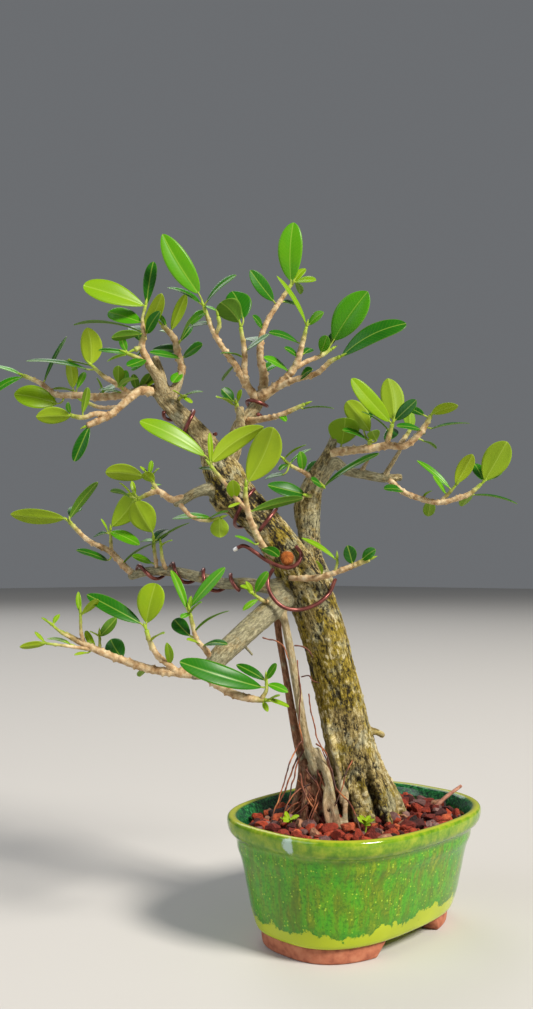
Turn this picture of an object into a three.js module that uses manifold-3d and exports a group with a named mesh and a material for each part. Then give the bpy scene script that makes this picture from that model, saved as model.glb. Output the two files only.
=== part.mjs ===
// A small-leaved fig trained as a bonsai, in an oval glazed pot.
// Millimetres, +Z up. The pot's long side runs along X; the tree's front is turned from it by FRONT_TURN.
import * as THREE from "three";
import { mergeVertices } from "three/addons/utils/BufferGeometryUtils.js";
import Module from "manifold-3d";

const wasm = await Module();
wasm.setup();

// ---- Driving dimensions ----
const RIM_HALF_LENGTH = 100; // outer edge of the pot's lip, along X
const RIM_HALF_WIDTH = 78.4;
const BASE_HALF_LENGTH = 83.9; // underside of the pot's bowl
const BASE_HALF_WIDTH = 54.5;
const POT_HEIGHT = 89;
const FOOT_HEIGHT = 10.7;
const OVAL_POWER = 2.63; // 2 is an ellipse, more is squarer
const WALL = 8;
const LIP_DEPTH = 12; // height of the thick rolled lip
const FLOOR = 9;
const FOOT_THICKNESS = 11;
const FOOT_SETBACK = 4.6; // how far a foot's lower edge stands in from the bowl
const FOOT_GAP_HALF = 34; // half the open stretch between the two feet, along X
const DRAIN_RADIUS = 9;
const DRAIN_HALF_SPACING = 42;
const SOIL_LEVEL = 76;
const GRAVEL_LEVEL = 80; // top of the bed that the stones sink in
const HEAP = 3; // how much higher the gravel lies in the middle
const STONE_COUNT = 42;
const STONE_RADIUS = 7.6;
const STONE_RISE = 1.4; // how far a stone's middle stands above the bed
const CLEARANCE = 0.35; // gap kept between neighbouring pieces
const FRONT_TURN = THREE.MathUtils.degToRad(-46);
const WIRE_RADIUS = 1.5;
const COIL_STEPS = 8; // straight runs in one turn of wire
const LEAF_THICKNESS = 0.7;
const SMALL_LEAF = 33; // leaves shorter than this have a plainer outline
const SEED = 7;

// Training wires that wind round a limb, from one share of its length to another.
const COILS = {
  wire_trunk_top: { limb: "trunk", from: 0.85, to: 0.95, turns: 1.6, phase: 2.4 },
  wire_trunk_bend: { limb: "trunk", from: 0.63, to: 0.7, turns: 1.2, phase: 0.4 },
  wire_left_limb: { limb: "left_limb", from: 0.26, to: 0.97, turns: 3.6, phase: 0.6 },
  wire_apex: { limb: "apex_limb", from: 0.7, to: 0.87, turns: 1.25, phase: 0 },
};

const COLOURS = {
  glaze: 0x4f8f1c,
  soil: 0x2e2118,
  gravel: 0x8e3a22,
  bark: 0x8b7b4e,
  leaf: 0x4c8a1e,
  wire: 0x5a2f2a,
  stick: 0x9a6a48,
};

// ---- Shape of the tree ----
// Limbs that make one piece of wood: [across, away, up, radius], seen from the tree's front.
const LIMBS = {
  trunk: [
    [8, 5, 76, 24], [6, 5, 93, 22.5], [1, 4, 109, 20], [-4, 2, 129, 18], [-9, 0, 157, 17.3],
    [-17, -3, 191, 16.8], [-25, -5, 223, 17.2], [-37, -6, 254, 17], [-52, -6, 278, 15],
    [-71, -4, 303, 13.2], [-90, -1, 323, 14.5], [-102, 1, 341, 14.5], [-112, 3, 360, 9.5],
    [-125, 5, 377, 8], [-139, 6, 391, 7.4], [-149, 6, 403, 7], [-154, 6, 409, 5.6],
  ],
  right_limb: [
    [-28, 6, 256, 12], [-33, 10, 275, 9.5], [-35, 13, 296, 8.8], [-36, 14, 316, 10.4],
    [-33, 13, 330, 8.6], [-28, 8, 344, 6], [-21, 2, 356, 4.6], [-14, -4, 372, 3.6],
  ],
  right_back_limb: [
    [-34, 15, 322, 6.5], [-24, 22, 340, 6], [-14, 27, 353, 5.6], [-4, 30, 347, 4.6],
    [11, 33, 344, 4.2], [28, 34, 341, 3.9], [41, 34, 342, 3.4],
  ],
  low_limb: [
    [-54, -12, 246, 9], [-68, -24, 235, 8.8], [-84, -38, 221, 8.4], [-100, -50, 207, 7.6],
    [-111, -56, 196, 5.6], [-121, -57, 193, 3.6],
  ],
  left_limb: [
    [-53, -8, 256, 7], [-70, -14, 255, 5.4], [-83, -8, 257, 4.9], [-102, 4, 257, 4.8],
    [-122, 16, 262, 4.6], [-143, 26, 266, 4.4], [-163, 32, 266, 4.1], [-178, 36, 262, 3.7],
  ],
  upper_left_stub: [
    [-108, -4, 330, 6], [-121, -12, 326, 4.2], [-132, -17, 319, 3.8], [-137, -19, 316, 2.8],
  ],
  apex_limb: [
    [-98, 6, 354, 9], [-92, 10, 369, 7], [-88, 12, 381, 6.2], [-79, 13, 392, 5.6], [-73, 14, 403, 5.4],
    [-71, 14, 408, 4.6],
  ],
  strand: [
    [-59, -18, 248, 5.4], [-56, -20, 236, 4.4], [-51, -19, 212, 4.4], [-45, -16, 178, 4.6],
    [-39, -13, 144, 4.8], [-30, -10, 114, 5.2], [-20, -8, 91, 5.6], [-17, -8, 81, 5.6],
  ],
  strand_behind: [
    [-60, -14, 245, 3.6], [-59, -13, 222, 2.4], [-54, -11, 192, 2.4], [-49, -8, 162, 2.8],
    [-43, -4, 132, 3.4], [-33, 0, 101, 4.2], [-29, 1, 82, 4.6],
  ],
  crown_limb: [
    [-147, 6, 400, 6.4], [-152, 1, 416, 4.7], [-160, -4, 427, 3.6],
  ],
  crown_limb_right: [
    [-145, 6, 399, 6.2], [-138, 9, 412, 4.1], [-135, 11, 424, 3.5],
  ],
  crown_stub: [
    [-148, 7, 406, 4.8], [-151, 10, 421, 3.7], [-156, 10, 435, 3.2],
  ],
  right_riser_outer: [
    [27, 33, 343, 2.6], [34, 24, 355, 2.2], [38, 16, 362, 2],
  ],
  right_riser_inner: [
    [8, 32, 346, 2.4], [12, 26, 353, 1.8], [14, 20, 357, 1.6],
  ],
  far_left_limb: [
    [-147, 6, 401, 5.6], [-160, 8, 409, 4.4], [-175, 12, 406, 3.7],
  ],
  stump_front: [
    [-50, -12, 270, 6.2], [-53, -26, 277, 5.4],
  ],
  stump_side: [
    [-29, -4, 250, 6.4], [-19, -6, 252, 5.2],
  ],
  root_left: [
    [-8, 0, 118, 8], [-18, -10, 102, 6.5], [-27, -20, 90, 5],
  ],
  root_right: [
    [13, 6, 113, 9], [24, 10, 99, 6.5], [33, 14, 85, 4.6],
  ],
  root_back: [
    [6, 12, 110, 9], [10, 28, 93, 7], [16, 42, 79, 4.8],
  ],
  root_front: [
    [-1, -6, 114, 9], [0, -18, 98, 7], [0, -28, 84, 4.6],
  ],
};

// A dry stick pushed into the gravel, and the two wires that hold the knot below the fork.
const STICK = [[60, 24, 79, 1.6], [72, 28, 89, 1.5], [86, 34, 97, 1.3]];
const WIRE_STUMP = [
  [-92, -30, 282], [-85, -31, 285], [-76, -28, 280], [-69, -26, 275], [-61, -27, 271], [-52, -27, 269],
  [-45, -26, 272], [-42, -23, 279], [-46, -21, 285],
];
const WIRE_KNOT = [
  [-63, -25, 268], [-67, -27, 260], [-65, -32, 250], [-57, -34, 241], [-46, -30, 238], [-33, -27, 241],
  [-22, -22, 249], [-16, -11, 260],
];

// Sprays. A twig is [across, away, up, radius] points. A leaf is [foot, tip, width, tilt], where tilt is
// the rise of its upper face in degrees: 0 faces the front, 90 the sky and 180 the back.
const SPRAYS = {
  spray_crown_left: {
    twigs: [
      [[-158, -3, 425, 3.3], [-161, -6, 431, 3], [-164, -8, 439, 2.6], [-162, -10, 447, 2]],
      [[-161, -5, 428, 2], [-167, -9, 430, 1.7], [-175, -13, 433, 1.4]],
      [[-164, -8, 439, 1.9], [-169, -11, 436, 1.8]],
      [[-162, -10, 447, 2], [-163, -12, 459, 1.4], [-161, -12, 470, 1.1]],
    ],
    leaves: [
      [[-162, -12, 470], [-207, -22, 483], 21, 25], [[-160, -12, 471], [-156, -4, 507], 10, 20],
      [[-164, -10, 450], [-147, -24, 476], 11, 160], [[-160, -10, 449], [-148, -26, 462], 10, 15],
      [[-164, -12, 457], [-191, -2, 468], 16, 30], [[-165, -10, 451], [-219, 4, 459], 12, 84],
      [[-164, -12, 448], [-184, -30, 441], 10, 135], [[-175, -13, 433], [-195, -22, 433], 9, 50],
      [[-175, -13, 432], [-187, -30, 423], 6, 120], [[-161, -6, 430], [-173, -22, 421], 10, 30],
      [[-166, -6, 444], [-175, 16, 461], 12, 40],
    ],
  },
  spray_crown_right: {
    twigs: [
      [
        [-135, 11, 421, 3.1], [-135, 11, 428, 3], [-138, 12, 438, 2.9], [-141, 12, 450, 2.6],
        [-150, 10, 460, 1.9],
      ],
    ],
    leaves: [
      [[-143, 11, 457], [-131, 2, 483], 9, 165], [[-136, 12, 449], [-118, 18, 475], 10, 100],
      [[-136, 12, 448], [-129, 30, 465], 6, 30], [[-135, 11, 434], [-158, -6, 435], 10, 40],
      [[-134, 12, 435], [-118, 2, 443], 13, 35], [[-140, 12, 452], [-154, 26, 460], 6, 60],
    ],
  },
  spray_far_left: {
    twigs: [
      [
        [-171, 11, 406, 3.4], [-182, 13, 405, 3.3], [-201, 16, 404, 3.1], [-220, 19, 406, 2.8],
        [-236, 21, 407, 2.2], [-248, 23, 416, 1.9], [-263, 25, 423, 1.6],
      ],
      [
        [-176, 12, 406, 2.4], [-180, 7, 409, 2], [-185, 2, 412, 1.9], [-194, -2, 417, 1.7],
        [-203, -4, 425, 1.2],
      ],
    ],
    leaves: [
      [[-204, -4, 426], [-206, -8, 454], 17, 170], [[-202, -4, 425], [-238, 8, 431], 8, 82],
      [[-206, -4, 422], [-252, -12, 427], 11, 62], [[-264, 25, 423], [-292, 30, 432], 10, 70],
      [[-264, 25, 422], [-284, 16, 408], 11, 50], [[-234, 18, 399], [-266, 8, 405], 20, 20],
      [[-246, 23, 418], [-230, 30, 456], 8, 80], [[-222, 19, 412], [-227, 26, 437], 10, 160],
      [[-220, 19, 409], [-242, 36, 414], 5, 110], [[-219, 19, 411], [-215, 30, 427], 6, 20],
      [[-182, -1, 409], [-165, -24, 411], 7, 100], [[-200, 16, 405], [-189, 38, 419], 10, 70],
      [[-236, 21, 408], [-246, 40, 402], 10, 60],
    ],
  },
  spray_far_left_low: {
    twigs: [
      [
        [-157, 2, 406, 3.6], [-166, -4, 405, 3.2], [-176, -8, 396, 2.8], [-188, -11, 385, 2.6],
        [-204, -13, 377, 2.4],
      ],
      [[-188, -11, 385, 2.4], [-198, -13, 386, 2], [-207, -14, 383, 1.8], [-216, -15, 384, 1.6]],
      [[-181, -9, 392, 1.5], [-197, 0, 393, 1.4], [-211, 6, 399, 1.3]],
    ],
    leaves: [
      [[-217, -15, 384], [-241, -24, 382], 14, 150], [[-208, -14, 386], [-203, -20, 405], 6, 150],
      [[-203, -13, 376], [-213, -18, 349], 10, 20],
    ],
  },
  spray_upper_left: {
    twigs: [
      [
        [-130, -16, 321, 3.2], [-139, -19, 320, 2.6], [-149, -21, 326, 2.2],
        [-156, -22, 324, 1.9], [-164, -23, 320, 1.4],
      ],
      [[-148, -21, 325, 1.9], [-151, -22, 329, 1.6], [-154, -23, 334, 1.3], [-156, -23, 337, 1.1]],
    ],
    leaves: [
      [[-160, -23, 337], [-190, -14, 341], 14, 155], [[-170, -22, 322], [-187, -8, 327], 7, 130],
    ],
  },
  spray_upper_left_low: {
    twigs: [
      [
        [-134, -18, 318, 2], [-130, -20, 313, 1.6], [-124, -22, 307, 1.5], [-111, -24, 304, 1.4],
        [-103, -25, 306, 1.1],
      ],
    ],
    leaves: [
      [[-110, -24, 306], [-139, -14, 306], 10, 60], [[-112, -24, 305], [-96, -38, 310], 6, 60],
    ],
  },
  spray_middle_left: {
    twigs: [
      [
        [-174, 35, 263, 3], [-182, 36, 270, 2.7], [-194, 38, 282, 2.4], [-212, 40, 291, 2],
        [-228, 42, 306, 1.6],
      ],
      [[-193, 38, 281, 1.6], [-193, 36, 287, 1.4], [-193, 32, 298, 1.1]],
      [[-155, 30, 266, 1.8], [-156, 26, 275, 1.5], [-157, 20, 290, 1.1]],
    ],
    leaves: [
      [[-232, 42, 309], [-274, 34, 312], 15, 145], [[-228, 42, 309], [-204, 34, 338], 9, 115],
      [[-228, 42, 311], [-223, 60, 319], 10, 30], [[-231, 42, 308], [-245, 56, 307], 7, 60],
      [[-196, 38, 275], [-219, 26, 283], 11, 55], [[-192, 32, 302], [-171, 22, 327], 19, 165],
      [[-158, 20, 297], [-171, 12, 321], 21, 168], [[-196, 32, 297], [-209, 50, 295], 7, 40],
      [[-193, 32, 298], [-168, 20, 287], 11, 40], [[-184, 36, 272], [-150, 16, 290], 10, 75],
      [[-159, 26, 273], [-173, 14, 278], 9, 40], [[-154, 20, 291], [-128, 8, 304], 7, 80],
      [[-156, 20, 290], [-169, 34, 290], 7, 60], [[-158, 22, 287], [-148, 44, 300], 11, 40],
    ],
  },
  spray_left_bud: {
    twigs: [
      [[-146, 27, 264, 1.8], [-150, 22, 275, 1.5], [-151, 18, 286, 1.1]],
    ],
    leaves: [

    ],
  },
  spray_low_left: {
    twigs: [
      [
        [-117, -57, 194, 3.4], [-130, -57, 195, 3.1], [-148, -56, 197, 2.9],
        [-171, -55, 204, 2.7], [-189, -54, 211, 2.5], [-202, -53, 217, 2.2],
        [-211, -52, 222, 1.9],
      ],
      [
        [-129, -57, 194, 2.6], [-137, -59, 201, 2.3], [-144, -61, 207, 2.1],
        [-149, -63, 216, 1.8], [-152, -64, 225, 1.4],
      ],
      [[-197, -53, 214, 1.6], [-199, -56, 223, 1.2], [-199, -60, 236, 1]],
      [[-205, -53, 218, 1.4], [-213, -56, 223, 1.1], [-218, -60, 228, 0.9]],
      [[-192, -54, 211, 1.4], [-209, -60, 214, 1.1], [-222, -64, 216, 0.9]],
      [[-186, -54, 209, 1.2], [-187, -50, 220, 0.9]],
    ],
    leaves: [
      [[-156, -64, 230], [-195, -58, 250], 13, 40], [[-152, -64, 230], [-145, -70, 258], 19, 5],
      [[-198, -60, 236], [-185, -70, 247], 6, 130], [[-222, -64, 216], [-239, -70, 214], 7, 140],
      [[-187, -50, 220], [-176, -44, 233], 8, 155], [[-170, -55, 205], [-181, -38, 217], 14, 20],
      [[-136, -59, 201], [-137, -70, 217], 6, 30], [[-149, -63, 218], [-138, -80, 224], 6, 60],
      [[-147, -56, 199], [-160, -34, 190], 9, 70],
    ],
  },
  spray_low_front: {
    twigs: [
      [
        [-111, -57, 194, 3.6], [-102, -60, 187, 3], [-91, -63, 181, 2.8], [-79, -65, 178, 2.4],
        [-70, -66, 177, 1.9],
      ],
      [[-72, -66, 177, 1.6], [-68, -67, 184, 1.3], [-68, -67, 191, 1]],
    ],
    leaves: [
      [[-71, -67, 186], [-127, -82, 205], 16, 30], [[-69, -67, 191], [-89, -60, 201], 8, 45],
      [[-68, -66, 178], [-52, -60, 172], 6, 60],
    ],
  },
  spray_low_upright: {
    twigs: [
      [
        [-105, -54, 201, 2.4], [-111, -56, 211, 2], [-117, -58, 218, 1.7], [-120, -60, 229, 1.5],
        [-122, -61, 238, 1.1],
      ],
    ],
    leaves: [
      [[-122, -61, 241], [-97, -66, 269], 9, 35], [[-124, -61, 240], [-136, -54, 267], 6, 30],
      [[-122, -58, 221], [-134, -48, 232], 11, 25], [[-119, -59, 224], [-94, -70, 239], 6, 85],
      [[-113, -57, 214], [-95, -72, 216], 7, 50],
    ],
  },
  spray_front_shoot: {
    twigs: [
      [
        [-61, -13, 277, 2.6], [-68, -22, 282, 2.5], [-73, -27, 289, 2.4], [-77, -33, 297, 2.3],
        [-81, -40, 308, 2.1], [-83, -45, 320, 1.8], [-83, -47, 327, 1.4],
      ],
      [[-83, -42, 312, 1.8], [-89, -46, 318, 1.6], [-99, -50, 331, 1.4], [-108, -53, 342, 1.2]],
    ],
    leaves: [
      [[-112, -54, 349], [-158, -62, 373], 15, 30], [[-107, -54, 345], [-70, -48, 371], 15, 150],
      [[-81, -48, 331], [-63, -58, 369], 23, 175], [[-76, -30, 286], [-91, -38, 292], 6, 60],
      [[-71, -26, 283], [-59, -40, 277], 9, 40], [[-79, -42, 310], [-41, -36, 320], 10, 130],
    ],
  },
  spray_apex: {
    twigs: [
      [
        [-74, 13, 400, 4], [-84, 8, 413, 3.1], [-91, 3, 425, 2.7], [-101, -3, 438, 2.3],
        [-109, -8, 451, 2], [-116, -12, 469, 1.4],
      ],
      [[-83, 8, 411, 2.8], [-85, 4, 422, 2.4], [-85, 0, 437, 2.1], [-88, -4, 455, 1.5]],
      [
        [-71, 15, 405, 4.2], [-70, 20, 421, 3.4], [-73, 24, 438, 2.9], [-72, 27, 455, 2.5],
        [-67, 29, 469, 2.2], [-59, 30, 482, 2], [-51, 31, 494, 1.6], [-47, 31, 500, 1.3],
      ],
      [
        [-73, 12, 403, 4.6], [-60, 8, 411, 3.4], [-46, 3, 425, 2.8], [-40, -2, 443, 2],
        [-37, -5, 455, 1.3],
      ],
      [[-45, 3, 425, 2.2], [-35, 6, 431, 1.9], [-26, 9, 435, 1.7], [-17, 11, 441, 1.3]],
      [
        [-64, 9, 408, 2.8], [-47, -2, 414, 2.3], [-29, -10, 418, 2.1], [-19, -15, 426, 1.8],
        [-12, -18, 429, 1.4],
      ],
      [[-107, -7, 448, 1.6], [-104, -12, 456, 1.5], [-105, -13, 461, 1.4]],
    ],
    leaves: [
      [[-120, -14, 479], [-147, -24, 522], 19, 15], [[-114, -12, 473], [-91, -22, 491], 11, 50],
      [[-119, -12, 472], [-145, -2, 487], 8, 60], [[-113, -9, 457], [-128, 6, 459], 9, 40],
      [[-89, -4, 459], [-103, -18, 471], 19, 150], [[-86, -4, 462], [-95, 8, 487], 20, 25],
      [[-84, 0, 438], [-66, -14, 447], 11, 45], [[-87, 0, 433], [-103, -12, 433], 7, 70],
      [[-62, 30, 485], [-81, 18, 507], 13, 20], [[-48, 31, 502], [-46, 26, 549], 20, 8],
      [[-37, -5, 457], [-60, -16, 492], 9, 60], [[-46, 31, 501], [-28, 22, 500], 10, 40],
      [[-43, 0, 444], [-66, -12, 449], 12, 45], [[-51, 5, 423], [-70, -10, 430], 12, 40],
      [[-15, 10, 448], [11, -2, 484], 24, 12], [[-11, -18, 429], [37, -28, 452], 18, 30],
      [[-18, 11, 444], [-12, 24, 459], 7, 20], [[-44, 30, 501], [-40, 48, 496], 7, 40],
      [[-54, 31, 485], [-40, 46, 485], 10, 40], [[-72, 26, 448], [-83, 50, 460], 12, 50],
      [[-70, 21, 425], [-55, 46, 438], 12, 50], [[-92, 2, 428], [-103, 20, 418], 10, 50],
    ],
  },
  spray_dead_twig: {
    twigs: [
      [[-84, 10, 383, 3], [-71, 0, 384, 2.4], [-60, -7, 385, 2.1], [-39, -14, 393, 1.6]],
    ],
    leaves: [
      [[-41, -14, 390], [-17, -20, 389], 6, 78],
    ],
  },
  spray_trunk_top: {
    twigs: [
      [[-86, 8, 384, 2.6], [-90, -4, 390, 2.2], [-91, -10, 394, 1.6]],
    ],
    leaves: [
      [[-94, -10, 394], [-105, -28, 396], 9, 60],
    ],
  },
  spray_right_upper: {
    twigs: [
      [
        [-18, 0, 358, 3.8], [-3, -4, 359, 3.1], [11, -8, 360, 2.9], [25, -11, 362, 2.8],
        [36, -14, 361, 2.6], [45, -17, 367, 2.4], [52, -19, 376, 2.2], [56, -20, 383, 1.6],
      ],
      [[24, -11, 363, 2.2], [26, -12, 371, 1.8], [28, -13, 378, 1.4]],
      [[34, -13, 363, 2], [40, -8, 371, 1.6], [43, -4, 376, 1.2]],
      [[11, -8, 361, 1.8], [11, -10, 366, 1.4]],
    ],
    leaves: [
      [[26, -13, 380], [-4, -24, 411], 14, 15], [[29, -12, 381], [26, -4, 415], 18, 165],
      [[11, -11, 373], [-6, -4, 397], 16, 165], [[25, -12, 374], [3, -30, 385], 7, 60],
      [[7, -6, 378], [15, 8, 399], 9, 30], [[-10, -3, 364], [-9, -26, 381], 24, 160],
      [[10, -9, 366], [-11, -24, 372], 9, 45], [[30, -13, 381], [45, -22, 395], 11, 30],
      [[51, -19, 384], [38, -8, 393], 9, 45], [[49, -19, 373], [29, -30, 374], 9, 45],
      [[57, -20, 385], [74, -34, 389], 10, 140], [[56, -19, 374], [87, -12, 379], 7, 75],
      [[43, -4, 377], [45, 8, 392], 10, 150], [[42, -6, 375], [56, 14, 374], 9, 60],
      [[23, -9, 366], [33, 16, 379], 10, 30],
    ],
  },
  spray_right_low: {
    twigs: [
      [
        [31, 33, 340, 2.6], [40, 32, 331, 2.3], [53, 30, 325, 2.2], [70, 27, 321, 2.1],
        [84, 24, 324, 2.1], [94, 22, 328, 1.9], [102, 20, 335, 1.4],
      ],
      [[71, 27, 322, 1.5], [77, 24, 328, 1.3], [82, 21, 334, 1]],
    ],
    leaves: [
      [[42, 32, 331], [25, 18, 331], 10, 40], [[78, 23, 332], [53, 30, 355], 6, 40],
      [[75, 25, 328], [63, 14, 341], 7, 40], [[82, 21, 335], [94, 12, 358], 13, 150],
      [[105, 20, 338], [121, 12, 368], 22, 165], [[104, 20, 338], [100, 34, 353], 10, 20],
      [[106, 20, 338], [121, 30, 347], 8, 30], [[96, 22, 327], [129, 14, 319], 7, 75],
      [[94, 22, 327], [91, 42, 319], 10, 60], [[63, 28, 323], [64, 46, 311], 10, 60],
    ],
  },
  spray_centre: {
    twigs: [
      [[-32, 8, 339, 2], [-41, 2, 344, 1.7], [-49, -4, 347, 1.4], [-54, -8, 351, 1.1]],
    ],
    leaves: [
      [[-55, -8, 340], [-69, 4, 338], 8, 50], [[-54, -8, 353], [-38, -16, 362], 6, 80],
      [[-50, -4, 349], [-33, 8, 362], 6, 80], [[-37, 4, 343], [-23, 30, 354], 9, 40],
    ],
  },
  spray_fork_leaf: {
    twigs: [
      [[-29, 6, 336, 2], [-25, -7, 331, 1.4]],
    ],
    leaves: [
      [[-24, -6, 331], [17, -18, 355], 11, 60],
    ],
  },
  spray_centre_front: {
    twigs: [
      [[-34, 8, 326, 2], [-35, -4, 324, 1.6], [-38, -11, 324, 1.3]],
    ],
    leaves: [
      [[-39, -10, 325], [-67, -18, 331], 14, 35],
    ],
  },
  spray_knot: {
    twigs: [
      [
        [-50, -18, 262, 2.8], [-40, -24, 261, 2.3], [-28, -29, 262, 2.2], [-13, -33, 267, 2.1],
        [7, -37, 275, 1.9],
      ],
      [[-18, -32, 265, 1.3], [-16, -34, 272, 1], [-16, -34, 275, 0.9]],
    ],
    leaves: [
      [[-17, -34, 275], [-42, -28, 291], 6, 60],
    ],
  },
  spray_branch_root: {
    twigs: [
      [[-65, -22, 243, 1.8], [-71, -30, 245, 1.4], [-78, -36, 250, 1]],
    ],
    leaves: [
      [[-76, -35, 251], [-67, -42, 266], 7, 30],
    ],
  },
};

// ---- Solids ----
// Every ring has the same number of points; rings are joined in order and the two ends are closed.
function loft(rings) {
  const count = rings[0].length;
  const positions = rings.flat().flatMap((p) => [p.x, p.y, p.z]);
  const index = [];
  for (let r = 0; r + 1 < rings.length; r++)
    for (let i = 0; i < count; i++) {
      const a = r * count + i;
      const b = r * count + ((i + 1) % count);
      index.push(a, b, b + count, a, b + count, a + count);
    }
  const last = (rings.length - 1) * count;
  for (let i = 1; i + 1 < count; i++) {
    index.push(0, i + 1, i);
    index.push(last, last + i, last + i + 1);
  }
  const geometry = new THREE.BufferGeometry();
  geometry.setAttribute("position", new THREE.Float32BufferAttribute(positions, 3));
  geometry.setIndex(index);
  return geometry;
}

// A closed geometry as a solid, with its faces turned to point out.
function solid(geometry) {
  const bare = geometry.clone();
  bare.deleteAttribute("normal");
  bare.deleteAttribute("uv");
  const merged = mergeVertices(bare, 1e-4);
  const make = (triVerts) =>
    new wasm.Manifold(
      new wasm.Mesh({ numProp: 3, vertProperties: merged.attributes.position.array, triVerts }),
    );
  const triVerts = new Uint32Array(merged.index.array);
  const made = make(triVerts);
  return made.volume() < 0 ? make(triVerts.slice().reverse()) : made;
}

function joined(solids) {
  return solids.reduce((whole, piece) => whole.add(piece));
}

// A cut can leave loose scraps: only the largest body is kept.
function largest(body) {
  const bodies = body.decompose();
  return bodies.reduce((best, piece) => (piece.volume() > best.volume() ? piece : best));
}

function mesh(name, body, colour, roughness, metalness = 0) {
  const source = body.getMesh();
  const geometry = new THREE.BufferGeometry();
  geometry.setAttribute("position", new THREE.BufferAttribute(source.vertProperties, 3));
  geometry.setIndex(new THREE.BufferAttribute(source.triVerts, 1));
  geometry.computeVertexNormals();
  const material = new THREE.MeshStandardMaterial({ color: colour, roughness, metalness });
  const made = new THREE.Mesh(geometry, material);
  made.name = name;
  return made;
}

// The same draws each time: a linear congruential generator.
function randomDraws(seed) {
  let state = seed;
  return () => {
    state = (state * 1664525 + 1013904223) % 4294967296;
    return state / 4294967296;
  };
}

// ---- Pot ----
const OVAL_STEPS = 36;
const LIP_BOTTOM = POT_HEIGHT - LIP_DEPTH;
const BELLY = 42; // height where the bowl's side changes slope
// The bowl's section as [height, inward, inset]: inward is 0 at the lip's oval and 1 at the base's, and
// inset is a further step in from that oval.
const BOWL_OUTSIDE = [
  [FOOT_HEIGHT, 1.04, 0],
  [FOOT_HEIGHT + 4, 1, 0],
  [24, 0.83, 0],
  [BELLY, 0.66, 0],
  [60, 0.5, 0],
  [LIP_BOTTOM - 3, 0.33, 0],
  [LIP_BOTTOM + 1, 0.08, 0],
  [LIP_BOTTOM + 5, 0, 0],
  [POT_HEIGHT - 2, 0.02, 0],
  [POT_HEIGHT, 0, 3],
];
const BOWL_INSIDE = [
  [POT_HEIGHT - 1, 0, WALL + 1],
  [LIP_BOTTOM, 0.2, WALL],
  [BELLY, 0.66, WALL],
  [FOOT_HEIGHT + FLOOR, 1, WALL + 3],
];

// A point of the oval at a turn, for half sizes a and b.
function ovalPoint(a, b, turn, z) {
  const c = Math.cos(turn);
  const s = Math.sin(turn);
  const x = a * Math.sign(c) * Math.abs(c) ** (2 / OVAL_POWER);
  const y = b * Math.sign(s) * Math.abs(s) ** (2 / OVAL_POWER);
  return new THREE.Vector3(x, y, z);
}

// A whole oval of the bowl at a height, for its inward share and inset.
function bowlOval([z, inward, inset], steps = OVAL_STEPS) {
  const a = THREE.MathUtils.lerp(RIM_HALF_LENGTH, BASE_HALF_LENGTH, inward) - inset;
  const b = THREE.MathUtils.lerp(RIM_HALF_WIDTH, BASE_HALF_WIDTH, inward) - inset;
  return Array.from({ length: steps }, (_, i) => ovalPoint(a, b, (2 * Math.PI * i) / steps, z));
}

// One of the two feet: a strip under the end of the bowl, cut off square at FOOT_GAP_HALF from the middle.
const FOOT_STEPS = 14;
const FOOT_TOP_SETBACK = 1.5;
const FOOT_SINK = 1; // how far a foot reaches up into the bowl

function foot(side) {
  const end = Math.acos((FOOT_GAP_HALF / BASE_HALF_LENGTH) ** (OVAL_POWER / 2));
  const sections = [];
  for (let i = 0; i <= FOOT_STEPS; i++) {
    const turn = THREE.MathUtils.lerp(-end, end, i / FOOT_STEPS) + (side < 0 ? Math.PI : 0);
    const at = (inset, z) =>
      ovalPoint(BASE_HALF_LENGTH - inset, BASE_HALF_WIDTH - inset, turn, z);
    sections.push([
      at(FOOT_SETBACK, 0),
      at(FOOT_TOP_SETBACK, FOOT_HEIGHT + FOOT_SINK),
      at(FOOT_SETBACK + FOOT_THICKNESS, FOOT_HEIGHT + FOOT_SINK),
      at(FOOT_SETBACK + FOOT_THICKNESS, 0),
    ]);
  }
  return solid(loft(sections));
}

// A drain hole through the floor, with 12 sides.
function drain(x) {
  const hole = new THREE.CylinderGeometry(DRAIN_RADIUS, DRAIN_RADIUS, 4 * FLOOR, 12);
  hole.rotateX(Math.PI / 2).translate(x, 0, FOOT_HEIGHT + FLOOR / 2);
  return solid(hole);
}

function pot() {
  const rings = [...BOWL_OUTSIDE, ...BOWL_INSIDE].map((ring) => bowlOval(ring));
  const bowl = joined([solid(loft(rings)), foot(1), foot(-1)]);
  return bowl.subtract(drain(-DRAIN_HALF_SPACING)).subtract(drain(DRAIN_HALF_SPACING));
}

// The soil fills the bowl up to SOIL_LEVEL, CLEARANCE clear of its wall and floor.
function soil() {
  const [lip, belly, floor] = BOWL_INSIDE.slice(1);
  const share = (SOIL_LEVEL - BELLY) / (LIP_BOTTOM - BELLY);
  const topInward = THREE.MathUtils.lerp(belly[1], lip[1], share);
  const clear = WALL + CLEARANCE;
  return solid(
    loft([
      bowlOval([floor[0] + CLEARANCE, floor[1], floor[2] + CLEARANCE]),
      bowlOval([BELLY, belly[1], clear]),
      bowlOval([SOIL_LEVEL, topInward, clear + CLEARANCE / 3]),
    ]),
  );
}

// Broken lava stones, sunk in a bed that lies on the soil and heaped a little towards the trunk. The
// stones lie on a sunflower spiral.
const BED_STEPS = 28;
const BED_EDGE = WALL + 2.2;
const BED = [
  [SOIL_LEVEL + CLEARANCE, 0.12, BED_EDGE + 1.5],
  [GRAVEL_LEVEL - 1, 0.1, BED_EDGE],
  [GRAVEL_LEVEL, 0.1, BED_EDGE + 6],
  [GRAVEL_LEVEL + HEAP, 0.1, BED_EDGE + 45],
];
const STONE_MARGIN = 4;
const GOLDEN_TURN = Math.PI * (3 - Math.sqrt(5));

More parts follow.
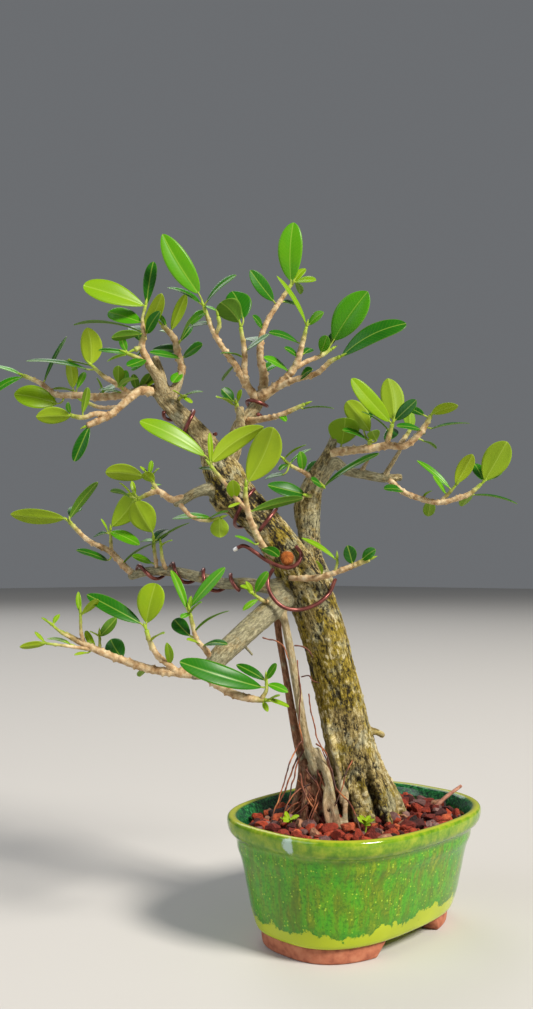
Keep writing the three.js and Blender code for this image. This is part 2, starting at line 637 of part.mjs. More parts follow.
// One stone: an octahedron turned, squashed and turned again by the seeded draws.
function stone(i, draw) {
  const reach = BED_EDGE + STONE_RADIUS + STONE_MARGIN;
  const out = Math.sqrt((i + 0.5) / STONE_COUNT);
  const turn = i * GOLDEN_TURN;
  const spot = ovalPoint((RIM_HALF_LENGTH - reach) * out, (RIM_HALF_WIDTH - reach) * out, turn, 0);
  const made = new THREE.OctahedronGeometry(STONE_RADIUS * (0.75 + 0.45 * draw()), 0);
  made.rotateX(draw() * Math.PI);
  made.rotateY(draw() * Math.PI);
  made.scale(1, 0.75 + 0.3 * draw(), 0.5 + 0.2 * draw());
  made.rotateZ(draw() * 2 * Math.PI);
  made.translate(spot.x, spot.y, GRAVEL_LEVEL + STONE_RISE + HEAP * (1 - out) + draw());
  return solid(made);
}

function gravel() {
  const draw = randomDraws(SEED);
  const bed = solid(loft(BED.map((ring) => bowlOval(ring, BED_STEPS))));
  return joined([bed, ...Array.from({ length: STONE_COUNT }, (_, i) => stone(i, draw))]);
}

// ---- Tree ----
const SKYWARD = new THREE.Vector3(0, 0, 1);

// Places are [across, away, up] seen from the tree's front; the pot's frame is turned from it.
function place([across, away, up]) {
  return new THREE.Vector3(across, away, up).applyAxisAngle(SKYWARD, FRONT_TURN);
}

const TRUNK_WOOD = { sides: 12, stepLength: 20, flutes: 0.05 };
const LIMB_WOOD = { sides: 7, stepLength: 24 };
const THIN_WOOD = { sides: 5, stepLength: 24 };
const TWIG_WOOD = { sides: 5, stepLength: 20 };
const THIN_TWIG_WOOD = { sides: 4, stepLength: 20 };
const STICK_WOOD = { sides: 5, stepLength: 12 };
const THICK_LIMB = 6; // radius at its foot above which a limb gets more sides
const THICK_TWIG = 2;
const FLUTE_COUNT = 3;
const FLUTE_TWIST = 0.35; // turn of the flutes from one ring to the next, in radians

// Wood along a smooth line through [across, away, up, radius] points. Flutes swell it in lengthwise ribs.
function wood(points, { sides, stepLength, swell = 0, flutes = 0 }) {
  const line = new THREE.CatmullRomCurve3(points.map(place), false, "centripetal");
  const steps = Math.max(points.length - 1, Math.ceil(line.getLength() / stepLength));
  const frames = line.computeFrenetFrames(steps);
  const rings = [];
  for (let i = 0; i <= steps; i++) {
    const centre = line.getPointAt(i / steps);
    const along = line.getUtoTmapping(i / steps) * (points.length - 1);
    const from = Math.min(Math.floor(along), points.length - 2);
    const radius = THREE.MathUtils.lerp(points[from][3], points[from + 1][3], along - from) + swell;
    rings.push(
      Array.from({ length: sides }, (_, k) => {
        const turn = (2 * Math.PI * k) / sides;
        const rib = 1 + flutes * Math.cos(FLUTE_COUNT * turn + i * FLUTE_TWIST);
        return centre
          .clone()
          .addScaledVector(frames.normals[i], radius * rib * Math.cos(turn))
          .addScaledVector(frames.binormals[i], radius * rib * Math.sin(turn));
      }),
    );
  }
  return solid(loft(rings));
}

// The whole tree's wood, or the same made fatter by swell to cut its neighbours clear of it.
function treeWood(swell = 0) {
  const { trunk, ...limbs } = LIMBS;
  const branches = Object.values(limbs).map((points) =>
    wood(points, { ...(points[0][3] > THICK_LIMB ? LIMB_WOOD : THIN_WOOD), swell }),
  );
  return joined([wood(trunk, { ...TRUNK_WOOD, swell }), ...branches]);
}

// ---- Leaves ----
// A leaf grows from the nearest point of its twig: a thin stalk widens at the blade's foot, and the blade
// follows the outline's stations to its tip, arched over its upper face.
const BLADE = [
  [0, 0.14],
  [0.3, 0.9],
  [0.68, 0.88],
  [1, 0.1],
];
const SMALL_BLADE = [
  [0, 0.25],
  [0.5, 1],
  [1, 0.16],
];
const ARCH = 0.07; // how far the middle stands above the line from foot to tip, as a share of the length
const STALK_WIDTH = 1.5;
const STALK_SINK = 0.3; // how far a stalk goes past the middle of its twig
const STRAIGHT_STALK = 0.5; // cosine of the sharpest bend between a plain stalk and its blade
const SHORTEST_STALK = 3;
const STALK_TURNS = 3; // leaves that share a stretch of twig
const STALK_SPREAD = 0.6; // radius at a bent stalk's foot, as a share of its width
const LINE_STEPS = 5; // spots on a twig where a stalk can grow, for each of its points

// Four corners of a flat section of the given width and thickness, across the given directions.
function flatSection(centre, side, up, width, thickness) {
  const corner = (s, u) =>
    centre
      .clone()
      .addScaledVector(side, (s * width) / 2)
      .addScaledVector(up, (u * thickness) / 2);
  return [corner(-1, -1), corner(1, -1), corner(1, 1), corner(-1, 1)];
}

function leaf([footAt, tipAt, width, tilt], twigLines, order) {
  const start = place(footAt);
  const root = stalkRoot(start, twigLines, order);
  const along = place(tipAt).sub(start).normalize();
  start.addScaledVector(along, Math.max(0, SHORTEST_STALK - root.distanceTo(start)));
  const length = place(tipAt).distanceTo(start);
  const rise = THREE.MathUtils.degToRad(tilt);
  const up = place([0, -Math.cos(rise), Math.sin(rise)]);
  up.addScaledVector(along, -up.dot(along)).normalize();
  const side = new THREE.Vector3().crossVectors(along, up);
  const blade = (length < SMALL_LEAF ? SMALL_BLADE : BLADE).map(([share, wide]) => {
    const centre = start.clone().addScaledVector(along, share * length);
    centre.addScaledVector(up, ARCH * length * 4 * share * (1 - share));
    return flatSection(centre, side, up, wide * width, LEAF_THICKNESS);
  });
  const stalk = start.clone().sub(root);
  const reach = stalk.length();
  stalk.normalize();
  const sunk = root.clone().addScaledVector(stalk, -STALK_SINK);
  if (stalk.dot(along) > STRAIGHT_STALK) {
    const section = flatSection(sunk, side, up, STALK_WIDTH, STALK_WIDTH);
    return solid(loft([section, ...blade]));
  }
  return solid(loft(blade)).add(bentStalk(sunk, stalk, reach + STALK_SINK + 1));
}

// Where a stalk leaves its twig: the nearest point, moved back along the twig by turns of the leaf's
// order, because leaves grow one after another and not from one spot.
function stalkRoot(foot, twigLines, order) {
  const nearer = (best, spot) => (spot.distanceTo(foot) < best.distanceTo(foot) ? spot : best);
  const nearest = (spots) => spots.reduce(nearer);
  const line = twigLines.reduce((best, spots) =>
    nearest(spots).distanceTo(foot) < nearest(best).distanceTo(foot) ? spots : best,
  );
  const index = line.indexOf(nearest(line));
  return line[Math.max(index - (order % STALK_TURNS), Math.min(index, 1))];
}

// A three-sided stalk for a blade that turns sharply away from its twig.
function bentStalk(root, direction, length) {
  const rod = new THREE.CylinderGeometry(STALK_WIDTH / 2, STALK_WIDTH * STALK_SPREAD, length, 3);
  rod.translate(0, length / 2, 0);
  rod.applyQuaternion(new THREE.Quaternion().setFromUnitVectors(new THREE.Vector3(0, 1, 0), direction));
  rod.translate(root.x, root.y, root.z);
  return solid(rod);
}

// A spray is its twigs with the leaves that grow on them.
function spray({ twigs, leaves }) {
  const twigLines = twigs.map((points) => {
    const line = new THREE.CatmullRomCurve3(points.map(place), false, "centripetal");
    return line.getPoints(points.length * LINE_STEPS);
  });
  const woods = twigs.map((points) => wood(points, points[0][3] > THICK_TWIG ? TWIG_WOOD : THIN_TWIG_WOOD));
  const blades = leaves.map((entry, order) => leaf(entry, twigLines, order));
  return joined([...woods, ...blades]);
}

// ---- Training wires ----
const FRAME_COUNT = 200; // directions kept along a limb
const RIB_ALLOWANCE = 1.06; // a wire clears the limb's ribs

// Round wire through hand-set points.
function wireAlong(points) {
  const path = new THREE.CatmullRomCurve3(points, false, "centripetal");
  const section = new THREE.Shape();
  section.absarc(0, 0, WIRE_RADIUS, 0, 2 * Math.PI);
  const tube = new THREE.ExtrudeGeometry(section, {
    steps: points.length - 1,
    extrudePath: path,
    curveSegments: 3,
  });
  return solid(tube);
}

// Points of a coil that lies on a limb, from one share of its length to another.
function coilPoints(limb, { from, to, turns, phase }) {
  const line = new THREE.CatmullRomCurve3(limb.map(place), false, "centripetal");
  const steps = Math.ceil(turns * COIL_STEPS);
  const frames = line.computeFrenetFrames(FRAME_COUNT);
  const points = [];
  for (let i = 0; i <= steps; i++) {
    const share = THREE.MathUtils.lerp(from, to, i / steps);
    const k = Math.round(share * FRAME_COUNT);
    const along = line.getUtoTmapping(share) * (limb.length - 1);
    const start = Math.min(Math.floor(along), limb.length - 2);
    const radius = THREE.MathUtils.lerp(limb[start][3], limb[start + 1][3], along - start);
    const off = (radius * RIB_ALLOWANCE + WIRE_RADIUS + CLEARANCE) / Math.cos(Math.PI / COIL_STEPS);
    const turn = phase + (2 * Math.PI * turns * i) / steps;
    points.push(
      line
        .getPointAt(share)
        .addScaledVector(frames.normals[k], off * Math.cos(turn))
        .addScaledVector(frames.binormals[k], off * Math.sin(turn)),
    );
  }
  return points;
}

// ---- Assembly ----
const root = new THREE.Group();
const plant = treeWood();
const plantCutter = treeWood(CLEARANCE);
const stickCutter = wood(STICK, { ...STICK_WOOD, swell: CLEARANCE });
const bedding = gravel().subtract(plantCutter).subtract(stickCutter);

root.add(mesh("pot", pot(), COLOURS.glaze, 0.2));
root.add(mesh("tree", plant, COLOURS.bark, 0.9));
root.add(mesh("soil", largest(soil().subtract(plantCutter)), COLOURS.soil, 1));
root.add(mesh("gravel", largest(bedding), COLOURS.gravel, 0.95));
root.add(mesh("dry_stick", wood(STICK, STICK_WOOD), COLOURS.stick, 0.9));

const wires = {
  wire_stump: wireAlong(WIRE_STUMP.map(place)),
  wire_knot: wireAlong(WIRE_KNOT.map(place)),
};
for (const [name, { limb, ...turns }] of Object.entries(COILS))
  wires[name] = wireAlong(coilPoints(LIMBS[limb], turns));
for (const [name, wire] of Object.entries(wires)) root.add(mesh(name, wire, COLOURS.wire, 0.35, 0.7));

for (const [name, parts] of Object.entries(SPRAYS))
  root.add(mesh(name, largest(spray(parts).subtract(plantCutter)), COLOURS.leaf, 0.45));

// The frame's origin is on the resting plane, under the middle of the whole object's box.
const extent = new THREE.Box3().setFromObject(root, true);
const middle = extent.getCenter(new THREE.Vector3());
root.position.set(-middle.x, -middle.y, 0);

export default root;
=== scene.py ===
"""A small-leaved fig grown as a bonsai in an oval glazed pot, dressed around its fixed frame.

Sizes are in millimetres and turn to metres when a piece is made. The pot's long side runs along X; the
tree is described from its front, which is turned from the pot by FRONT_TURN.
"""

import bmesh
import bpy
import numpy as np
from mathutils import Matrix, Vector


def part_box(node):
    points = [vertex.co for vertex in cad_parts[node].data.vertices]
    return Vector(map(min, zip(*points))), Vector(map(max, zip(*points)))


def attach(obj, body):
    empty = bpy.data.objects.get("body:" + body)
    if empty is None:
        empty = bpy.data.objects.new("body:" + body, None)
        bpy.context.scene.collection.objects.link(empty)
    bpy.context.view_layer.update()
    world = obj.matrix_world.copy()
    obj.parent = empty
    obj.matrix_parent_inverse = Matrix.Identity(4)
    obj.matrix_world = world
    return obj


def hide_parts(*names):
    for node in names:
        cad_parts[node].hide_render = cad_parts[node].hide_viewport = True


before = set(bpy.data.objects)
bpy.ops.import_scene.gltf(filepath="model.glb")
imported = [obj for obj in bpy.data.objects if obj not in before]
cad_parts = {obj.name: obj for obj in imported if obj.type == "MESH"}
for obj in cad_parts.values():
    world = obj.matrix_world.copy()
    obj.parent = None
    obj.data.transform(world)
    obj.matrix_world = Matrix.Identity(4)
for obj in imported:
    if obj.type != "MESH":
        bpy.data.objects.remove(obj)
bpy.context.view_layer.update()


# ---- Camera ----
# A plain lens, fitted to the pot's rim, base and feet. The picture is taken from half the tree's height,
# looking slightly up, across the pot's near end.
PICTURE_HEIGHT, FOCAL_PIXELS = 1009, 985
SENSOR = 36  # width of the camera's film, mm
MM = 0.001
FRONT_TURN = np.radians(-46)
CAMERA_PITCH = 0.066
CAMERA_PLACE = [-67.9, -757.5, 267.5]
NEAREST_SEEN = 0.01

low, high = (np.array(corner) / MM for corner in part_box("pot"))
POT_MIDDLE = np.array([(low[0] + high[0]) / 2, (low[1] + high[1]) / 2, 0])


def place(points):
    """[across, away, up] seen from the tree's front, turned about the pot's middle into the frame."""
    points = np.asarray(points, float)
    across, away, up = points[..., 0], points[..., 1], points[..., 2]
    c, s = np.cos(FRONT_TURN), np.sin(FRONT_TURN)
    return np.stack([across * c - away * s, across * s + away * c, up], -1) + POT_MIDDLE


camera_data = bpy.data.cameras.new("camera")
camera_data.lens = SENSOR * FOCAL_PIXELS / PICTURE_HEIGHT
camera_data.sensor_width = SENSOR
camera_data.clip_start = NEAREST_SEEN
camera = bpy.data.objects.new("camera", camera_data)
camera.location = place(CAMERA_PLACE) * MM
camera.rotation_euler = (np.pi / 2 + CAMERA_PITCH, 0, FRONT_TURN)
bpy.context.collection.objects.link(camera)
bpy.context.scene.camera = camera
bpy.context.scene.view_settings.view_transform = "Standard"


# ---- Floor and light ----
# A plain pale floor under a pale surround, with one large soft light from the right, a weaker one from the
# left and one from behind.
FLOOR_HALF = 12000
FLOOR_COLOUR, FLOOR_ROUGHNESS = "#c6c4c0", 0.8
SURROUND_COLOUR, SURROUND_STRENGTH = "#94979b", 0.5
LIGHT_AIM = [0, 0, 260]
LIGHTS = {  # place, size, watts, colour
    "key": ([3400, -2890, 4000], 1530, 535, "#fff8ee"),
    "fill": ([-4420, -2720, 2900], 4080, 116, "#f2f5ff"),
    "back": ([-1530, 4080, 4400], 3400, 87, "#ffffff"),
}


def linear(code):
    """An sRGB hex colour as linear red, green, blue and alpha."""
    values = np.array([int(code[i : i + 2], 16) for i in (1, 3, 5)]) / 255
    turned = np.where(values <= 0.04045, values / 12.92, ((values + 0.055) / 1.055) ** 2.4)
    return (*turned.tolist(), 1.0)


def set_sockets(node, sockets):
    """Fills a node's sockets: an output is linked, a hex colour is made linear, the rest are constants."""
    for name, value in dict(sockets).items():
        if isinstance(value, bpy.types.NodeSocket):
            node.id_data.links.new(value, node.inputs[name])
        else:
            node.inputs[name].default_value = linear(value) if isinstance(value, str) else value


def add_node(material, kind, sockets=(), settings=(), stops=(), output=None):
    """One shader node: sockets are values or outputs to link, settings are its own properties, and stops
    are a colour ramp's places and colours. Returns the output named, or else the first one in use."""
    node = material.node_tree.nodes.new("ShaderNode" + kind)
    for name, value in dict(settings).items():
        setattr(node, name, value)
    set_sockets(node, sockets)
    for i, (spot, colour) in enumerate(stops):
        stop = node.color_ramp.elements[i] if i < 2 else node.color_ramp.elements.new(spot)
        stop.position, stop.color = spot, linear(colour)
    return node.outputs[output] if output else next(found for found in node.outputs if found.enabled)


def new_material(name, sockets):
    """A material whose one Principled shader has the given constants."""
    material = bpy.data.materials.new(name)
    material.use_nodes = True
    shader = material.node_tree.nodes["Principled BSDF"]
    set_sockets(shader, sockets)
    return material, shader


def make_piece(name, points, faces, material=None, smooth=True, **values):
    """A mesh object from points in mm. Each further argument is one number, or one vector, for each point."""
    mesh = bpy.data.meshes.new(name)
    mesh.from_pydata((np.asarray(points) * MM).tolist(), [], faces)
    mesh.polygons.foreach_set("use_smooth", [smooth] * len(mesh.polygons))
    for key, given in values.items():
        given = np.asarray(given, float)
        vector = given.ndim == 2
        layer = mesh.attributes.new(key, "FLOAT_VECTOR" if vector else "FLOAT", "POINT")
        layer.data.foreach_set("vector" if vector else "value", given.ravel())
    if material:
        mesh.materials.append(material)
    mesh.update()
    made = bpy.data.objects.new(name, mesh)
    bpy.context.collection.objects.link(made)
    return made


floor_paint, _ = new_material("floor_paint", {"Base Color": FLOOR_COLOUR, "Roughness": FLOOR_ROUGHNESS})
floor_points = np.array([[-1, -1, 0], [1, -1, 0], [1, 1, 0], [-1, 1, 0]]) * FLOOR_HALF
make_piece("floor", floor_points, [[0, 1, 2, 3]], floor_paint)

world = bpy.data.worlds.new("surround")
world.use_nodes = True
set_sockets(world.node_tree.nodes["Background"], {"Color": SURROUND_COLOUR, "Strength": SURROUND_STRENGTH})
bpy.context.scene.world = world

for name, (spot, size, watts, colour) in LIGHTS.items():
    light_data = bpy.data.lights.new(name, "AREA")
    light_data.size = size * MM
    light_data.energy = watts
    light_data.color = linear(colour)[:3]
    light = bpy.data.objects.new(name, light_data)
    light.location = place(spot) * MM
    towards = Vector(place(LIGHT_AIM) * MM - place(spot) * MM)
    light.rotation_euler = towards.to_track_quat("-Z", "Y").to_euler()
    bpy.context.collection.objects.link(light)


# ---- Pot ----
# Slip-cast stoneware, dipped first in a lime glaze and then in a speckled green one that ran down towards
# the foot. The plan is a superellipse; the lip is a thick roll over a shallow neck.
OVAL_POWER = 2.63
LIP_HALF = np.array([100.0, 78.4])
BASE_HALF = np.array([83.9, 54.5])
# The section up the outside and down the inside: [height, share of the way from lip to base, step inwards]
BOWL_SECTION = [
    [10.9, 1, 30], [10.8, 1.02, 9], [11, 1.03, 2.4], [11.9, 1.02, 0.4], [14, 0.985, 0], [18, 0.925, 0],
    [26, 0.815, 0], [34, 0.74, 0], [42, 0.66, 0], [49, 0.6, 0], [55, 0.54, 0], [60, 0.475, 0], [63.5, 0.41, 0],
    [66, 0.365, 0], [68.5, 0.345, 0], [71.5, 0.33, 0], [73.8, 0.29, 0], [75.6, 0.21, 0], [77.2, 0.12, 0],
    [79.4, 0.05, 0], [82.5, 0.015, 0], [85.6, 0, 0], [87.7, 0, 0.5], [88.8, 0, 2], [88.9, 0, 3.8], [88.2, 0, 6],
    [86.2, 0, 7.8], [82, 0.07, 8.6], [77, 0.2, 8.2], [60, 0.5, 8], [42, 0.66, 8], [24, 0.9, 8.5], [19.9, 1, 12],
    [19.7, 1, 40],
]
BOWL_STEP, OVAL_STEPS = 1.6, 288
SPLINE_STEPS = 24  # points on a spline from one given point to the next
GLAZE_WAVES = 0.22  # how far the glaze's surface rises and falls, mm
BAND_LOW, BAND_RISE = 23.5, 8.5  # where the green glaze stops above the lime one
DRIPS = [([-99, -19.4, 83], [6.5, 6.5, 7.5], 1), ([-96, -23, 66], [4, 3, 14], 0.6)]  # place, reach, strength
DRAIN_PLACES, DRAIN_RADIUS = [-42, 42], 9
DRILL_SIDES, DRILL_LENGTH = 48, 40


def smooth_line(points, step):
    """A centripetal spline through points of any size, as stations of about one length apart. Each stretch
    blends its four neighbours by the square roots of the distances between them."""
    points = np.asarray(points, float)
    knots = np.vstack([2 * points[0] - points[1], points, 2 * points[-1] - points[-2]])
    dense = []
    for i in range(len(points) - 1):
        p = knots[i : i + 4]
        t = np.concatenate([[0], np.cumsum(np.linalg.norm(np.diff(p[:, :3], axis=0), axis=1) ** 0.5)])
        u = np.linspace(t[1], t[2], SPLINE_STEPS, endpoint=False)[:, None]
        first = [((t[k + 1] - u) * p[k] + (u - t[k]) * p[k + 1]) / (t[k + 1] - t[k]) for k in range(3)]
        second = [((t[k + 2] - u) * first[k] + (u - t[k]) * first[k + 1]) / (t[k + 2] - t[k]) for k in range(2)]
        dense.append(((t[2] - u) * second[0] + (u - t[1]) * second[1]) / (t[2] - t[1]))
    dense = np.vstack([*dense, points[-1:]])
    run = np.concatenate([[0], np.cumsum(np.linalg.norm(np.diff(dense[:, :3], axis=0), axis=1))])
    stations = np.linspace(0, run[-1], max(2, int(np.ceil(run[-1] / step)) + 1))
    return np.stack([np.interp(stations, run, column) for column in dense.T], 1), stations


def noise(points, size, seed=0):
    """Smooth random values from -1 to 1: each corner of a cell of the given size has its own value, mixed
    from its numbers by large primes, and a point blends the eight around it by a fifth-power ease."""
    spots = np.asarray(points, float) / size
    cell = np.floor(spots).astype(np.int64)
    part = spots - cell
    ease = part**3 * (part * (part * 6 - 15) + 10)
    total = np.zeros(len(spots))
    for corner in np.ndindex(2, 2, 2):
        x, y, z = ((cell + corner) & 0xFFFF).T
        mixed = (x * 73856093 ^ y * 19349663 ^ z * 83492791 ^ (seed * 2654435 + 374761)) & 0xFFFFFFFF
        mixed = (mixed ^ (mixed >> 15)) * 739982445 & 0xFFFFFFFF
        mixed = (mixed ^ (mixed >> 12)) * 695872825 & 0xFFFFFFFF
        value = ((mixed ^ (mixed >> 15)) & 0xFFFF) / 32767.5 - 1
        total += value * np.prod(np.where(corner, ease, 1 - ease), axis=1)
    return total


def grid_faces(rows, columns, closed=True):
    """Four-sided faces between neighbouring rows of points; a closed grid joins its last column to its first."""
    r, c = np.meshgrid(np.arange(rows - 1), np.arange(columns if closed else columns - 1), indexing="ij")
    a, b = r * columns + c, r * columns + (c + 1) % columns
    return np.stack([a, b, b + columns, a + columns], -1).reshape(-1, 4).tolist()


def shell_faces(rows, columns):
    """A closed grid's faces, with its first and last rows each filled by one many-sided face."""
    last = (rows - 1) * columns
    return grid_faces(rows, columns) + [list(range(columns))[::-1], list(range(last, last + columns))]


def oval(turn, halves):
    """A superellipse: each half size times the cosine or sine raised to 2 over the power, sign kept."""
    return [
        halves[..., k] * np.sign(wave) * np.abs(wave) ** (2 / OVAL_POWER)
        for k, wave in enumerate((np.cos(turn), np.sin(turn)))
    ]


def bowl():
    """The bowl: an oval for each station of the section, pushed in and out a little along its normal by
    smooth noise. Returns its points, which of them are inside, and its number of rows."""
    section = np.array(BOWL_SECTION)
    halves = LIP_HALF + section[:, 1:2] * (BASE_HALF - LIP_HALF) - section[:, 2:3]
    path, _ = smooth_line(np.column_stack([halves, section[:, 0]]), BOWL_STEP)
    turn = np.linspace(0, 2 * np.pi, OVAL_STEPS, endpoint=False)
    grid = np.stack([*oval(turn[None, :], path[:, None, :2]), np.repeat(path[:, 2:3], OVAL_STEPS, 1)], -1)
    normal = np.cross(np.roll(grid, -1, 1) - np.roll(grid, 1, 1), np.gradient(grid, axis=0))
    normal = (normal / np.maximum(np.linalg.norm(normal, axis=2, keepdims=True), 1e-9)).reshape(-1, 3)
    points = grid.reshape(-1, 3)
    wave = 0.6 * noise(points, 22, 3) + 0.4 * noise(points, 9, 4)
    points = points - normal * (1 + wave[:, None]) * GLAZE_WAVES / 2 * np.sign((normal * points).sum(1))[:, None]
    inner = np.repeat((np.arange(len(path)) > np.argmax(path[:, 2])).astype(float), OVAL_STEPS)
    return points, inner, len(path)


def layered(material, colour, layers):
    """Colours laid over one another. A layer is (its colour, its cover), or (its colour, what it follows,
    where it begins, where it is full, its full cover); it is eased between unless it ends in LINEAR."""
    for over, cover, *ramp in layers:
        if ramp:
            begins, full, most, ease = (*ramp, "SMOOTHSTEP")[:4]
            cover = add_node(
                material, "MapRange", {"Value": cover, "From Min": begins, "From Max": full, "To Max": most},
                {"interpolation_type": ease},
            )
        colour = add_node(material, "Mix", {"Factor": cover, "A": colour, "B": over}, {"data_type": "RGBA"})
    return colour


def glaze_finish():
    """Glossy stoneware glaze: a glassy coat about 0.3 mm thick, so highlights are sharp and small. The green
    one is mottled, speckled with undissolved yellow grains and streaked where it ran."""
    m, shader = new_material("speckled_glaze", {"Roughness": 0.12, "IOR": 1.5})
    whole = add_node(m, "TexCoord", output="Object")
    centred = add_node(
        m, "Mapping", {"Vector": whole, "Location": (POT_MIDDLE * MM).tolist(), "Scale": (MM, MM, MM)},
        {"vector_type": "TEXTURE"},
    )
    streaked = add_node(m, "Mapping", {"Vector": centred, "Scale": (1, 1, 0.13)})
    height = add_node(m, "SeparateXYZ", {"Vector": centred}, output="Z")
    inner, drip = (
        add_node(m, "Attribute", (), {"attribute_name": key}, output="Fac") for key in ("inner", "drip")
    )
    # Sizes in mm: the streaks that ran, broad clouds, fine mottling, pools, clouds on the lip, the band's edge.
    run, broad, mottle, pool, lip_cloud, edge = (
        add_node(m, "TexNoise", {"Vector": spot, "Scale": 1 / size, "Detail": detail, "Roughness": rough})
        for spot, size, detail, rough in (
            (streaked, 5, 5, 0.65), (centred, 38, 3, 0.5), (centred, 2.2, 4, 0.75),
            (streaked, 9, 4, 0.6), (centred, 8, 6, 0.65), (centred, 26, 7, 0.6),
        )
    )
    leaning = add_node(m, "Math", {0: broad, 1: 0.55, 2: run}, {"operation": "MULTIPLY_ADD"})
    body, lip_colour, lime, deep = (
        add_node(m, "ValToRGB", {"Fac": cloud}, (), zip(spots, colours.split()))
        for cloud, spots, colours in (
            (leaning, [0.6, 1, 0.72, 0.8, 0.88], "#429a12 #8ca30c #4ea00c #619d0a #628406"),
            (lip_cloud, [0.34, 0.7, 0.46, 0.56], "#4f7a12 #a0ae2c #6a9018 #869f20"),
            (broad, [0.35, 0.65], "#a2b212 #b6c41c"),
            (mottle, [0.36, 0.7, 0.47, 0.55, 0.62], "#06261c #86b9a0 #0f4a2c #1f6f2a #2c7d4a"),
        )
    )
    # Undissolved grains, one to each 2.4 mm, of many sizes.
    grain_gap = add_node(m, "TexVoronoi", {"Vector": centred, "Scale": 1 / 2.4, "Randomness": 1})
    chance = add_node(m, "SeparateColor", {"Color": grain_gap.node.outputs["Color"]})
    grain_size = add_node(m, "MapRange", {"Value": chance, "From Min": 0.3, "To Max": 0.36})
    grain_depth = add_node(m, "Math", {0: grain_size, 1: grain_gap}, {"operation": "SUBTRACT"})
    band = {"From Min": 0.3, "From Max": 0.7, "To Min": BAND_LOW - BAND_RISE, "To Max": BAND_LOW + BAND_RISE}
    edge_height = add_node(m, "MapRange", {"Value": edge, **band})
    over_edge = add_node(m, "Math", {0: height, 1: edge_height}, {"operation": "SUBTRACT"})
    over_edge = add_node(m, "Math", {0: mottle, 1: -9, 2: over_edge}, {"operation": "MULTIPLY_ADD"})
    drips = add_node(m, "Math", {0: pool, 1: 1.5, 2: drip}, {"operation": "MULTIPLY_ADD"})
    drips = add_node(m, "Math", {0: mottle, 1: 0.9, 2: drips}, {"operation": "MULTIPLY_ADD"})
    body = layered(m, body, [
        ("#2f6a06", mottle, 0.53, 0.36, 0.8, "LINEAR"), ("#566c10", pool, 0.5, 0.7, 0.75, "LINEAR"),
        ("#a9c832", grain_depth, 0, 0.1, 0.85), (lip_colour, height, 70, 79, 0.92),
        ("#2f7a14", over_edge, 2, -4, 0.4), (lime, over_edge, -4, -5.2, 1), (deep, inner),
        # The thin pale yellow band on the top of the lip is partly the glaze thinning on the edge and partly a
        # painted highlight.
        ("#aeb030", height, 87.6, 88.8, 0.8), ("#b4ccc0", drips, 1.75, 2.1, 0.9),
    ])
    rise = add_node(m, "Bump", {"Height": mottle, "Strength": 0.06, "Distance": 0.0006})
    set_sockets(shader, {"Base Color": body, "Normal": rise})
    return m


bowl_points, inner, bowl_rows = bowl()
drip = sum(
    strength * np.exp(-(((bowl_points - spot) / reach) ** 2).sum(1)) for spot, reach, strength in DRIPS
)
glazed_bowl = make_piece(
    "glazed_bowl", bowl_points + POT_MIDDLE, shell_faces(bowl_rows, OVAL_STEPS), inner=inner, drip=drip
)
drills = []
for across in DRAIN_PLACES:
    turn = np.linspace(0, 2 * np.pi, DRILL_SIDES, endpoint=False)
    ring = np.column_stack([DRAIN_RADIUS * np.cos(turn) + across, DRAIN_RADIUS * np.sin(turn), 0 * turn])
    drill_points = np.vstack([ring, ring + [0, 0, DRILL_LENGTH]]) + POT_MIDDLE
    drills.append(make_piece("drill", drill_points, shell_faces(2, DRILL_SIDES)))
    glazed_bowl.modifiers.new("drain", "BOOLEAN").object = drills[-1]
drilled = bpy.data.meshes.new_from_object(glazed_bowl.evaluated_get(bpy.context.evaluated_depsgraph_get()))
glazed_bowl.modifiers.clear()
glazed_bowl.data = drilled
for drill in drills:
    bpy.data.objects.remove(drill)
drilled.materials.clear()
drilled.materials.append(glaze_finish())
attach(glazed_bowl, "root")
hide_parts("pot")


# ---- Pot feet ----
# Two C-shaped strips of the same clay under the ends of the bowl, wiped clean of glaze before firing, with
# their ends cut at a slant.
FOOT_HEIGHT, FOOT_THICKNESS = 12.0, 11
FOOT_SETBACK, FOOT_TOP_SETBACK = 4.6, 0.8
FOOT_GAP_TOP, FOOT_GAP_BOTTOM = 30, 40
FOOT_STATIONS, FOOT_SIDES = 90, 40
FOOT_SQUARENESS = 0.28  # 0 gives the strip's section sharp corners, 1 makes it round


def foot(side):
    """A strip along the oval's end: at each turn a closed section of rounded corners, its turn drawn in
    towards the end as the section goes down, so that the cut slants."""
    loop = np.linspace(0, 2 * np.pi, FOOT_SIDES, endpoint=False) + np.pi / 4
    square = np.stack([np.cos(loop), np.sin(loop)], 1)
    square = np.sign(square) * np.abs(square) ** FOOT_SQUARENESS
    setback = FOOT_SETBACK / 2 + FOOT_THICKNESS / 2 + FOOT_TOP_SETBACK
    height = FOOT_HEIGHT * (square[:, 1] + 1) / 2
    slant = (FOOT_SETBACK / 2 - FOOT_TOP_SETBACK) * (1 - height / FOOT_HEIGHT)
    inset = setback + square[:, 0] * FOOT_THICKNESS / 2 + slant
    gap = FOOT_GAP_BOTTOM + (FOOT_GAP_TOP - FOOT_GAP_BOTTOM) * height / FOOT_HEIGHT
    end = np.arccos((gap / BASE_HALF[0]) ** (OVAL_POWER / 2))
    share = np.linspace(-1, 1, FOOT_STATIONS)[:, None]
    x, y = oval(share * end[None, :], BASE_HALF[None, None, :] - inset[None, :, None])
    z = np.repeat(height[None, :], FOOT_STATIONS, 0)
    points = np.stack([side * x, side * y, z], -1).reshape(-1, 3)
    return points + POT_MIDDLE, shell_faces(FOOT_STATIONS, FOOT_SIDES)


